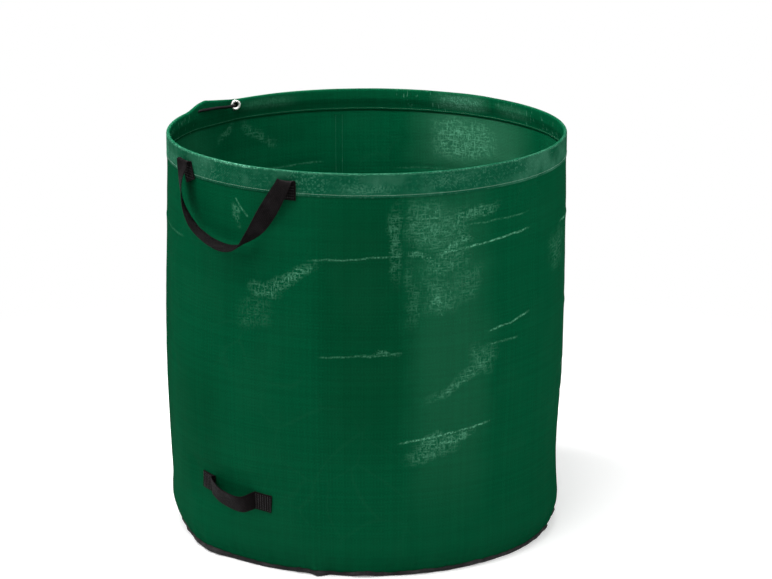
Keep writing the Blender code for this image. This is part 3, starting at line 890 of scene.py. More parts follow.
@dataclass(frozen=True)
class HemCloth:
    """The lighter, duller tape cloth of the hem, whose tapes show one by one, with wear and painted sheen in
    pale patches.
    """

    pitch: float = 0.0021
    upright: Colour = (0.0010, 0.040, 0.0175)
    level: Colour = (0.0045, 0.080, 0.0380)
    # The pale colour of wear and dust, and of the painted sheen and highlight.
    worn: Colour = (0.110, 0.330, 0.220)
    inner_deep: Colour = (0.0004, 0.0400, 0.0150)
    inner: Colour = (0.0006, 0.0540, 0.0210)
    roughness: float = 0.60
    film: float = 0.03
    weave_height: float = 0.00016
    # How pale the top fold is: partly wear, partly painted highlight where the fold faces up.
    top_wear_and_highlight: float = 0.40
    # Pale patches on the hem's outer face, mostly painted sheen; those along the top fold are partly wear.
    rubbed: Sequence[Worn] = (
        Worn(-45.0, 0.020, 12.0, 0.022, 0.90),
        Worn(-63.0, 0.020, 11.0, 0.022, 0.60),
        Worn(-31.0, 0.014, 7.0, 0.012, 0.34, 0.10),
        Worn(2.0, 0.0385, 13.0, 0.0034, 0.95),
        Worn(-24.0, 0.0385, 12.0, 0.0026, 0.50),
        Worn(41.0, 0.013, 9.0, 0.012, 0.34),
        Worn(64.0, 0.024, 9.0, 0.012, 0.24),
        Worn(152.0, 0.020, 16.0, 0.014, 0.26),
        Worn(-120.0, 0.018, 14.0, 0.014, 0.26),
    )
    # Patches of painted sheen on the hem's inner face.
    inside_painted_sheen: Sequence[Worn] = (
        Worn(-169.0, 0.060, 10.5, 0.016, 0.42),
        Worn(171.0, 0.062, 8.0, 0.014, 0.16),
        Worn(-106.0, 0.058, 12.0, 0.012, 0.14),
    )

    def material(self, name: str) -> Material:
        """Make the hem's material."""
        constants = {"Specular IOR Level": 0.0, "Coat Weight": self.film, "Coat Roughness": 0.45}
        made, graph, shader = new_material(name, constants)
        place, cloth = graph.rest_place(), graph.uv()
        weave = graph.group(Effects.tape_weave(), {"Place": cloth, "Pitch": self.pitch, "Tilt": 0.7})
        wear = graph.group(Effects.soft_wear(), {"Place": place, "Size": 16.0, "Amount": 1.2})
        share = graph.fitted(weave.outputs["Tape"], 0.35, graph.times(weave.outputs["Upright"], -0.45))
        share = graph.math("ADD", share, 0.45)
        body = graph.colour(share, self.upright, self.level)
        _, across = graph.split(cloth)
        inside = graph.ramp(across, 0.0405, 0.0445)
        outside = graph.opposite(inside)
        body = graph.colour(inside, body, graph.colour(weave.outputs["Tape"], self.inner_deep, self.inner))
        grain = graph.ramp(wear.outputs["Grain"], 0.35, 0.62, 0.30, 1.0)
        fleck = graph.times(graph.ramp(weave.outputs["Crossing"], 0.25, 1.0, 0.15, 1.0), grain)
        # The paler top fold: partly wear, partly painted highlight.
        top = graph.times(graph.ramp(across, 0.0350, 0.0375), graph.ramp(across, 0.0410, 0.0385))
        top = graph.times(top, self.top_wear_and_highlight)
        shift = graph.drift(place, 30.0, 3.0)
        shift = graph.vector("MULTIPLY", graph.vector("SUBTRACT", shift, (0.5, 0.5, 0.5)), (0.03, 0.004, 0.0))
        # Pale patches of painted sheen, with some wear along the top fold.
        patches = soft_patches(graph, graph.vector("ADD", cloth, shift), self.rubbed)
        pale = graph.times(graph.larger(top, patches), fleck)
        pale = graph.larger(pale, graph.times(wear.outputs["Rubbed"], 0.3))
        streak = graph.noise(graph.vector("MULTIPLY", place, (1.0, 1.0, 0.15)), 13.0, 3.0)
        speck = graph.ramp(weave.outputs["Crossing"], 0.66, 1.0, 0.0, 0.22)
        speck = graph.times(speck, graph.ramp(streak, 0.36, 0.66, 0.35, 1.0))
        pale = graph.times(graph.larger(pale, speck), outside)
        drawn_out = graph.noise(graph.vector("MULTIPLY", cloth, (1.0, 0.30, 1.0)), 210.0, 2.0)
        scratches_and_sheen = graph.ramp(drawn_out, 0.62, 0.70, 0.0, 0.30)
        scratches_and_sheen = graph.times(scratches_and_sheen, graph.ramp(graph.noise(place, 6.0, 2.0), 0.50, 0.60))
        # Fine scratches on the inner face, and over them the patches of painted sheen.
        cloudy = soft_patches(graph, graph.vector("ADD", cloth, shift), self.inside_painted_sheen)
        scratches_and_sheen = graph.larger(scratches_and_sheen, graph.times(cloudy, graph.ramp(fleck, 0.0, 1.0, 0.3, 1.0)))
        scratches_and_sheen = graph.times(scratches_and_sheen, inside)
        colour = graph.colour(graph.larger(pale, scratches_and_sheen), body, self.worn)
        uneven = graph.fitted(weave.outputs["Crossing"], 0.16, self.roughness - 0.08)
        height = graph.times(weave.outputs["Height"], self.weave_height)
        height = graph.fitted(graph.noise(place, 45.0, 3.0), 0.0009, height)
        cover(graph, shader, colour, uneven, height)
        return made


@dataclass(frozen=True)
class WebbingFinish:
    """Black woven webbing with narrow ribs along its length."""

    rib: float = 0.0027
    float_length: float = 0.0046
    dark: Colour = (0.0006, 0.0005, 0.0005)
    light: Colour = (0.0084, 0.0066, 0.0071)
    dust: Colour = (0.050, 0.046, 0.048)
    roughness: float = 0.66
    specular: float = 0.03
    depth: float = 0.00035

    def material(self, name: str) -> Material:
        """Make the webbing's material."""
        made, graph, shader = new_material(name, {"Specular IOR Level": self.specular})
        cloth = graph.uv()
        size = {"Place": cloth, "Rib": self.rib, "Float": self.float_length}
        ribs = graph.group(Effects.ribbed_webbing(), size)
        wear = graph.group(Effects.soft_wear(), {"Place": cloth, "Size": 30.0, "Amount": 1.0})
        lit = graph.times(ribs.outputs["Height"], graph.fitted(ribs.outputs["Yarn"], 0.5, 0.5))
        colour = graph.colour(lit, self.dark, self.light)
        colour = graph.colour(graph.times(wear.outputs["Rubbed"], 0.16), colour, self.dust)
        uneven = graph.fitted(ribs.outputs["Yarn"], 0.2, self.roughness - 0.1)
        height = graph.times(ribs.outputs["Height"], self.depth)
        height = graph.fitted(wear.outputs["Grain"], 0.00008, height)
        cover(graph, shader, colour, uneven, height)
        return made


@dataclass(frozen=True)
class BindingTape:
    """The soft black tape folded round the foot's seam, gathered in small puckers."""

    dark: Colour = (0.0050, 0.0050, 0.0055)
    light: Colour = (0.0260, 0.0250, 0.0255)
    dust: Colour = (0.085, 0.082, 0.080)
    pitch: float = 0.0009
    weave_height: float = 0.00012
    roughness: float = 0.68
    specular: float = 0.12

    def material(self, name: str) -> Material:
        """Make the binding's material."""
        made, graph, shader = new_material(name, {"Specular IOR Level": self.specular})
        cloth = graph.uv()
        weave = graph.group(Effects.tape_weave(), {"Place": cloth, "Pitch": self.pitch, "Tilt": 0.4})
        wear = graph.group(Effects.soft_wear(), {"Place": cloth, "Size": 28.0, "Amount": 1.4})
        colour = graph.colour(graph.fitted(weave.outputs["Tape"], 0.5, 0.1), self.dark, self.light)
        colour = graph.colour(graph.times(wear.outputs["Rubbed"], 0.4), colour, self.dust)
        uneven = graph.fitted(wear.outputs["Grain"], 0.3, self.roughness - 0.15)
        pulled = graph.vector("MULTIPLY", cloth, (1.0, 0.25, 1.0))
        height = graph.times(weave.outputs["Height"], self.weave_height)
        height = graph.fitted(graph.noise(pulled, 160.0, 3.0), 0.0012, height)
        cover(graph, shader, colour, uneven, height)
        return made


@dataclass(frozen=True)
class RodPlastic:
    """Smooth black plastic with faint drawing marks."""

    body: Colour = (0.0014, 0.0014, 0.0015)
    rubbed: Colour = (0.012, 0.012, 0.0125)
    roughness: float = 0.46

    def material(self, name: str) -> Material:
        """Make the rod's material."""
        made, graph, shader = new_material(name, {"Specular IOR Level": 0.22})
        place = graph.object_place()
        wear = graph.group(Effects.soft_wear(), {"Place": place, "Size": 60.0, "Amount": 1.0})
        colour = graph.colour(graph.times(wear.outputs["Rubbed"], 0.5), self.body, self.rubbed)
        uneven = graph.fitted(wear.outputs["Grain"], 0.25, self.roughness - 0.1)
        height = graph.times(wear.outputs["Grain"], 0.00005)
        cover(graph, shader, colour, uneven, height)
        return made


@dataclass(frozen=True)
class EyeletMetal:
    """Bright pressed metal, a little dulled where it was rolled over."""

    bright: Colour = (0.86, 0.86, 0.84)
    dull: Colour = (0.52, 0.52, 0.50)
    roughness: float = 0.46

    def material(self, name: str) -> Material:
        """Make the eyelet's material."""
        made, graph, shader = new_material(name, {"Metallic": 1.0})
        place = graph.object_place()
        wear = graph.group(Effects.soft_wear(), {"Place": place, "Size": 220.0, "Amount": 1.3})
        colour = graph.colour(wear.outputs["Rubbed"], self.bright, self.dull)
        uneven = graph.fitted(wear.outputs["Grain"], 0.24, self.roughness - 0.1)
        height = graph.times(wear.outputs["Grain"], 0.00004)
        cover(graph, shader, colour, uneven, height)
        return made


@dataclass(frozen=True)
class SewingThread:
    """Twisted sewing thread."""

    dark: Colour
    light: Colour
    roughness: float = 0.55

    def material(self, name: str) -> Material:
        """Make the thread's material."""
        made, graph, shader = new_material(name, {"Specular IOR Level": 0.4})
        place = graph.object_place()
        wear = graph.group(Effects.soft_wear(), {"Place": place, "Size": 300.0, "Amount": 1.0})
        twist = {"Vector": place, "Scale": 420.0, "Distortion": 1.5}
        strands = graph.add("ShaderNodeTexWave", twist, bands_direction="DIAGONAL").outputs[1]
        colour = graph.colour(graph.fitted(strands, 0.6, 0.2), self.dark, self.light)
        uneven = graph.fitted(wear.outputs["Grain"], 0.2, self.roughness - 0.1)
        height = graph.times(strands, 0.00008)
        cover(graph, shader, colour, uneven, height)
        return made


@dataclass(frozen=True)
class StudioFloor:
    """The plain pale floor, white to the eye and still darkened by the bag's shadow."""

    paint: Colour = (0.86, 0.86, 0.86)
    lift: float = 0.30
    far: float = 1.5

    def material(self, name: str) -> Material:
        """Make the floor's material."""
        made = bpy.data.materials.new(name)
        made.use_nodes = True
        graph = Graph(made.node_tree)
        paint = graph.add("ShaderNodeBsdfDiffuse", {"Color": (*self.paint, 1.0)})
        path = graph.add("ShaderNodeLightPath")
        seen = graph.larger(path.outputs["Is Camera Ray"], path.outputs["Is Glossy Ray"])
        glow = graph.add("ShaderNodeEmission", {"Strength": graph.times(seen, self.lift)})
        near = graph.add("ShaderNodeAddShader", {0: paint.outputs[0], 1: glow.outputs[0]})
        white = graph.add("ShaderNodeEmission", {"Strength": 1.0})
        reach = graph.vector("LENGTH", graph.object_place())
        away = graph.times(graph.ramp(reach, 0.5, self.far), seen)
        both = graph.add("ShaderNodeMixShader", {0: away, 1: near.outputs[0], 2: white.outputs[0]})
        graph.add("ShaderNodeOutputMaterial", {"Surface": both.outputs[0]})
        return made


# The bag's own pieces


@dataclass(frozen=True)
class BagShape:
    """The sizes that the pieces share."""

    height: float = 0.682
    rim_radius: float = RIM_RADIUS
    belly_radius: float = 0.3375
    belly_height: float = 0.33
    foot_radius: float = 0.3285
    foot_height: float = 0.055
    seam_radius: float = 0.3128
    wall_bottom: float = 0.0045
    wall_top: float = 0.6665
    wall_top_radius: float = 0.3341
    hem_bottom: float = 0.642
    cloth: float = 0.0006
    binding_radius: float = 0.3125
    binding_thickness: float = 0.007
    rod_radius: float = 0.0026
    sleeve_width: float = 0.0063
    slit_angle: float = -77.8
    eyelet_angle: float = -94.3
    eyelet_turn: float = 21.0
    slit_drop: float = 0.0045
    eyelet_drop: float = 0.0095

    def plain_radius(self, height: np.ndarray | float) -> np.ndarray | float:
        """Return the wall's radius at a height, without folds."""
        foot = (height - self.wall_bottom) / (self.foot_height - self.wall_bottom)
        spread = np.sin(np.pi / 2 * np.clip(foot, 0, 1))
        low = self.seam_radius + (self.foot_radius - self.seam_radius) * spread
        rise = ease((height - self.foot_height) / (self.belly_height - self.foot_height))
        fall = ease((height - self.belly_height) / (self.hem_bottom - self.belly_height))
        belly = self.foot_radius + (self.belly_radius - self.foot_radius) * rise
        high = belly + (self.wall_top_radius - self.belly_radius) * fall
        return np.where(height <= self.foot_height, low, high)

    def eyelet_ways(self) -> tuple[Vector, Vector]:
        """Return the way along the hem at the eyelet and the way the eyelet faces, both turned a little."""
        turn = math.radians(self.eyelet_turn)
        along, inwards = sideways(self.eyelet_angle), -outward(self.eyelet_angle)
        run = along * math.cos(turn) - inwards * math.sin(turn)
        return run, inwards * math.cos(turn) + along * math.sin(turn)

    def eyelet_pull(self, angle: np.ndarray, height: np.ndarray) -> np.ndarray:
        """Return how far the inner cloth is turned out or in round the eyelet."""
        along = np.radians(angle - self.eyelet_angle) * self.rim_radius
        near = np.exp(-((along / 0.0135) ** 2) - ((height - self.height + self.eyelet_drop) / 0.015) ** 2)
        return math.tan(math.radians(self.eyelet_turn)) * along * near

    def slack(self, angle: np.ndarray | float) -> np.ndarray | float:
        """Return how far the rim lies inside its circle where the rod runs bare and the hem is straight."""
        middle = (self.slit_angle + self.eyelet_angle) / 2
        half = abs(self.slit_angle - self.eyelet_angle) / 2
        off = np.minimum(turn_between(angle, middle), half)
        return self.rim_radius * (1 - math.cos(math.radians(half)) / np.cos(np.radians(off)))


SHAPE = BagShape()


def puckered(turns: np.ndarray) -> tuple[np.ndarray, np.ndarray, np.ndarray]:
    """Work out how the binding gathers the foot.

    Args:
        turns: Angles round the bag, in radians.

    Returns:
        The foot's shift outwards, its lift off the floor, and how full the binding is.
    """
    ring = np.stack([np.cos(turns), np.sin(turns), 0 * turns], axis=-1)
    slow = rough(ring, 3.4, 5.0)
    quick = rough(ring, 10.0, 8.0)
    fine = rough(ring, 30.0, 2.0)
    shift = slow * 0.0065 + quick * 0.0050 + np.abs(quick) * 0.0030 - 0.0012
    bulge = np.exp(-((turn_between(np.degrees(turns), -13.0) / 9.0) ** 2))
    corner = np.clip(1 - turn_between(np.degrees(turns), 27.0) / 3.2, 0, 1)
    shift = shift + bulge * 0.0100 + corner * 0.0110
    lift = np.clip(quick * 0.0060 + slow * 0.0030, 0, None)
    return shift, lift, np.clip(1 + fine * 0.5 + quick * 0.45 + bulge * 0.6, 0.5, 2.1)


@dataclass(frozen=True)
class Fold:
    """A main upright fold of the wall."""

    angle: float
    low: float
    high: float
    depth: float
    half_width: float


@dataclass
class ClothWall:
    """The wall: one sheet of laminated cloth closed to a tube, with folds, packing creases and a seam."""

    columns: int = 400
    rows: int = 116
    seam_angle: float = -130.0
    pitch: float = 0.0026
    swell: float = 0.0026
    stitch: tuple[float, float] = (0.0031, 0.0006)
    stitch_levels: tuple[float, float, float] = (0.020, 0.636, 0.0042)
    lean: float = 0.0045
    lean_angle: float = 131.2
    folds: Sequence[Fold] = (
        Fold(54.5, 0.235, 0.630, 0.0060, 7.0),
        Fold(12.3, 0.300, 0.500, 0.0045, 6.0),
        Fold(92.5, 0.390, 0.580, 0.0045, 7.0),
        Fold(-38.0, 0.260, 0.560, 0.0040, 7.0),
        Fold(152.0, 0.200, 0.540, 0.0050, 8.0),
        Fold(-142.0, 0.280, 0.610, 0.0045, 7.0),
    )
    creases: Sequence[Crease] = (
        Crease((54.5, 0.586), (94.5, 0.590), 0.0008, 0.008, 0.25),
        Crease((59.5, 0.5455), (95.0, 0.563), 0.0012, 0.007, 1.0),
        Crease((77.0, 0.405), (95.0, 0.421), 0.0012, 0.006, 0.9),
        Crease((76.5, 0.383), (89.1, 0.385), 0.0007, 0.006, 0.35),
        Crease((24.5, 0.5375), (49.5, 0.546), 0.0010, 0.007, 0.5),
        Crease((27.5, 0.379), (52.5, 0.387), 0.0008, 0.008, 0.35),
        Crease((49.5, 0.2335), (79.5, 0.2535), 0.0014, 0.008, 0.95),
        Crease((59.0, 0.488), (63.4, 0.439), 0.0003, 0.004, 0.4),
        Crease((-19.5, 0.225), (0.5, 0.2305), -0.0012, 0.008),
        Crease((0.5, 0.2305), (25.5, 0.2275), -0.0010, 0.008),
        Crease((5.5, 0.470), (26.2, 0.539), 0.0010, 0.009),
        Crease((2.3, 0.626), (7.1, 0.596), 0.0008, 0.004, 0.6),
        Crease((-33.5, 0.369), (-24.5, 0.292), -0.0016, 0.012),
        Crease((-60.0, 0.541), (-20.0, 0.535), 0.0008, 0.008, 0.25),
        Crease((-95.0, 0.388), (-48.0, 0.379), 0.0010, 0.008, 0.7),
        Crease((-88.0, 0.236), (-55.0, 0.228), -0.0010, 0.008),
        Crease((112.0, 0.548), (150.0, 0.541), 0.0011, 0.008, 0.9),
        Crease((120.0, 0.392), (168.0, 0.384), 0.0009, 0.008, 0.3),
        Crease((102.0, 0.238), (146.0, 0.231), -0.0010, 0.008),
        Crease((113.0, 0.2775), (131.0, 0.2795), -0.0030, 0.012),
        Crease((160.0, 0.236), (205.0, 0.243), 0.0012, 0.008, 0.8),
        Crease((176.0, 0.546), (214.0, 0.538), 0.0009, 0.008, 0.2),
        Crease((-126.0, 0.551), (-100.0, 0.543), 0.0010, 0.008, 0.25),
        Crease((-124.0, 0.243), (-98.0, 0.237), 0.0009, 0.008),
    )
    finish: LaminatedCloth = field(default_factory=LaminatedCloth)
    piece: Piece | None = None

    def cloth_radius(self) -> float:
        """Return the radius at which the tapes come out whole round the bag."""
        tapes = 2 * round(math.pi * SHAPE.rim_radius / self.pitch)
        return tapes * self.pitch / (2 * math.pi)

    def folded_in(self, angle: np.ndarray, height: np.ndarray) -> np.ndarray:
        """Return how far the main folds draw the wall in."""
        depth = np.zeros_like(angle * height)
        for fold in self.folds:
            near = np.clip(1 - turn_between(angle, fold.angle) / fold.half_width, 0, 1)
            along = np.clip((height - fold.low) / (fold.high - fold.low), 0, 1)
            depth += fold.depth * near * np.sin(np.pi * along)
        return depth

    def creased(self, angle: np.ndarray, height: np.ndarray) -> np.ndarray:
        """Return how far the packing creases stand out from the wall."""
        raised = np.zeros_like(angle * height)
        for crease in self.creases:
            (left, low), (right, high) = crease.ends_on_cloth()
            middle = (crease.start[0] + crease.end[0]) / 2
            across = np.radians((angle - middle + 180) % 360 - 180 + middle) * SHAPE.rim_radius
            length = (right - left) ** 2 + (high - low) ** 2
            share = ((across - left) * (right - left) + (height - low) * (high - low)) / length
            inside = np.clip(share, 0, 1)
            apart = np.hypot(across - left - inside * (right - left), height - low - inside * (high - low))
            fade = ease(inside * (1 - inside) / 0.12)
            raised += crease.rise * np.clip(1 - apart / crease.half_width, 0, 1) * fade
        return raised

    def loose(self, angle: np.ndarray, height: np.ndarray, plain: np.ndarray) -> np.ndarray:
        """Return the soft unevenness of slack cloth, and its gathers at the foot."""
        places = round_points(angle, plain, height)
        swell = rough(places, 4.2, 11.0) * self.swell + rough(places, 9.5, 3.0) * self.swell * 0.35
        dents = np.abs(rough(places * (1, 1, 0.7), 7.0, 29.0)) * -0.0022 + 0.0005
        fine = np.abs(rough(places, 26.0, 41.0)) * -0.0006
        free = ease((0.628 - height) / 0.05) * ease((height - 0.012) / 0.05)
        patch = 1 - ease((21 - turn_between(angle, 0.0)) / 5) * ease((0.048 - np.abs(height - 0.124)) / 0.018)
        turns = np.radians(angle)
        ripple = np.sin(turns * 61 + 2.4 * np.sin(turns * 7))
        ripple = ripple + 0.6 * np.sin(turns * 97 + 1.3 * np.sin(turns * 5))
        gather = ripple * 0.0011 * ease((0.05 - height) / 0.034) * ease((height - 0.006) / 0.012)
        gather = gather + puckered(turns)[0] * 0.85 * ease((0.046 - height) / 0.040)
        low = ease((0.60 - height) / 0.26) * ease((height - 0.02) / 0.12)
        leaned = -self.lean * np.cos(turns - math.radians(self.lean_angle)) * low * patch
        sag = 0.0042 * np.exp(-((height - 0.050) / 0.030) ** 2) * ease((70 - turn_between(angle, -60.0)) / 50)
        return (swell + dents + fine) * free * patch + leaned + gather + sag * patch

    def radius(self, angle: np.ndarray, height: np.ndarray) -> np.ndarray:
        """Return the wall's outer radius.

        Args:
            angle: Angles round the bag.
            height: Heights over the floor.

        Returns:
            The radii, with folds, creases, the sewn seam and slack cloth.
        """
        plain = SHAPE.plain_radius(height) + 0 * angle
        seam = 0.0008 * ease((0.0085 - np.radians(turn_between(angle, self.seam_angle)) * plain) / 0.002)
        seam = seam * ease((0.636 - height) / 0.01) * ease((height - 0.01) / 0.01)
        fitted = SHAPE.slack(angle) * ease((height - 0.40) / 0.24)
        loose = self.loose(angle, height, plain)
        return plain - self.folded_in(angle, height) + self.creased(angle, height) + loose + seam - fitted

    def point(self, angle: float, height: float, off: float = 0.0) -> Vector:
        """Return a point on the wall's outer face, moved outwards by a distance."""
        radius = float(self.radius(np.array([[angle]]), np.array([[height]]))[0, 0])
        return at(angle, radius + off, height)

    def build(self) -> None:
        """Make the wall as a closed thin shell, open at its top and foot."""
        turns = np.linspace(0, 360, self.columns, endpoint=False) + self.seam_angle
        levels = np.linspace(SHAPE.wall_bottom, SHAPE.wall_top, self.rows)
        angle, height = np.meshgrid(turns, levels, indexing="ij")
        outer = self.radius(angle, height)
        angle, height = (np.concatenate([grid, grid[:, ::-1]], axis=1) for grid in (angle, height))
        radii = np.concatenate([outer, (outer - SHAPE.cloth)[:, ::-1]], axis=1)
        on_cloth = np.radians(np.append(turns, self.seam_angle + 360)) * self.cloth_radius()
        uv = np.stack(np.broadcast_arrays(on_cloth[:, None], height[0][None, :]), axis=-1)
        self.piece = cloth_piece("wall_cloth", round_points(angle, radii, height), uv, True)
        keep_rest_place(self.piece)

    def stitch_rows(self) -> list[Stitch]:
        """Return the stitches of the upright seam that closes the sheet."""
        stitches = []
        levels = np.arange(*self.stitch_levels)
        for offset in (-1.0, 1.0):
            angle = self.seam_angle + offset
            radii = self.radius(np.full((1, len(levels)), angle), levels[None, :])[0]
            for level, radius in zip(levels, radii):
                for side, depth in ((1, 0.0002), (-1, -SHAPE.cloth - 0.0002)):
                    middle = at(angle, float(radius) + depth, float(level))
                    stitches.append(Stitch(middle, UP.copy(), outward(angle) * side))
        return stitches

    def dress(self) -> None:
        """Give the wall its finish and its seam, and put their places into their meshes."""
        wall = self.piece
        drawn = [crease for crease in self.creases if crease.paleness]
        wall.data.materials.append(self.finish.material("laminated_cloth", drawn))
        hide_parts("wall_fabric")
        thread = sewn("wall_seam_thread", self.stitch_rows(), *self.stitch)
        thread.data.materials.append(green_thread_material())
        for piece in (wall, thread):
            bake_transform(piece)


@dataclass
class Foot:
    """The round base panel and the puckered binding that joins it to the wall."""

    columns: int = 540
    sides: int = 12
    panel_radius: float = 0.3120
    panel_sides: int = 180
    panel_cuts: int = 11
    panel_rumple: float = 0.0035
    panel_edge: float = 0.0015
    panel_cloth: float = 0.0010
    cloth: LaminatedCloth = field(default_factory=LaminatedCloth)
    tape: BindingTape = field(default_factory=BindingTape)
    panel: Piece | None = None
    binding: Piece | None = None

    def build_binding(self) -> None:
        """Make the binding: a soft flattened roll that follows the puckers of the seam."""
        turns = np.linspace(0, 2 * np.pi, self.columns, endpoint=False)
        shift, lift, full = puckered(turns)
        around = np.linspace(0, 2 * np.pi, self.sides, endpoint=False)
        half = SHAPE.binding_thickness / 2
        wide, tall = half * 1.15 * full[:, None], half * 1.25 * full[:, None] ** 0.5
        radii = SHAPE.binding_radius + shift[:, None] + wide * np.cos(around) + 0.0008 * np.sin(around)
        heights = np.maximum(tall * (1 + np.sin(around)) + lift[:, None], 0)
        points = round_points(np.degrees(turns)[:, None] + 0 * radii, radii, heights)
        on_tape = np.append(turns, 2 * np.pi) * SHAPE.binding_radius
        uv = np.stack(np.broadcast_arrays(on_tape[:, None], around[None, :] * half), axis=-1)
        self.binding = cloth_piece("foot_binding", points, uv, True)

    def build_panel(self) -> None:
        """Make the base panel: a thin disc that lies on the floor, with its edge sewn into the binding."""
        bpy.ops.object.select_all(action="DESELECT")
        bpy.ops.mesh.primitive_circle_add(
            vertices=self.panel_sides, radius=self.panel_radius, fill_type="TRIFAN"
        )
        self.panel = bpy.context.object
        self.panel.name = self.panel.data.name = "base_cloth"
        bpy.ops.object.mode_set(mode="EDIT")
        bpy.ops.mesh.select_all(action="SELECT")
        bpy.ops.mesh.tris_convert_to_quads()
        bpy.ops.mesh.select_all(action="SELECT")
        bpy.ops.mesh.subdivide(number_cuts=self.panel_cuts)
        bpy.ops.object.mode_set(mode="OBJECT")
        mesh = self.panel.data
        places = np.array([vertex.co for vertex in mesh.vertices])
        reach = np.hypot(places[:, 0], places[:, 1])
        turns = np.arctan2(places[:, 0], -places[:, 1])
        shift, lift, _ = puckered(turns)
        rumpled = np.clip(rough(places, 9.0, 17.0), 0, 1) * self.panel_rumple
        rumpled = rumpled * ease((self.panel_radius - reach) / 0.03)
        places[:, 2] = rumpled + (lift + self.panel_edge) * ease((reach - 0.27) / 0.04)
        places[:, :2] *= (1 + shift * ease((reach - 0.25) / 0.05) / np.maximum(reach, 0.2))[:, None]
        mesh.vertices.foreach_set("co", places.astype(np.float32).ravel())
        layer = mesh.uv_layers.active or mesh.uv_layers.new(name="cloth")
        layer.name = "cloth"
        corners = np.empty(len(mesh.loops), np.int32)
        mesh.loops.foreach_get("vertex_index", corners)
        layer.data.foreach_set("uv", places[corners, :2].astype(np.float32).ravel())
        thick = self.panel.modifiers.new("cloth", "SOLIDIFY")
        thick.thickness = self.panel_cloth
        thick.offset = 1.0
        apply_modifiers(self.panel)
        if signed_volume(mesh) < 0:
            mesh.flip_normals()
        mesh.shade_smooth()
        keep_rest_place(self.panel)

    def build(self) -> None:
        """Make the binding and the panel."""
        self.build_binding()
        self.build_panel()

    def dress(self) -> None:
        """Give both pieces their finishes and their place in the bag."""
        self.binding.data.materials.append(self.tape.material("black_binding"))
        self.panel.data.materials.append(self.cloth.material("base_cloth", ()))
        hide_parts("base_piping")
        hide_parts("base_panel")
        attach(self.binding, "bag")
        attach(self.panel, "bag")


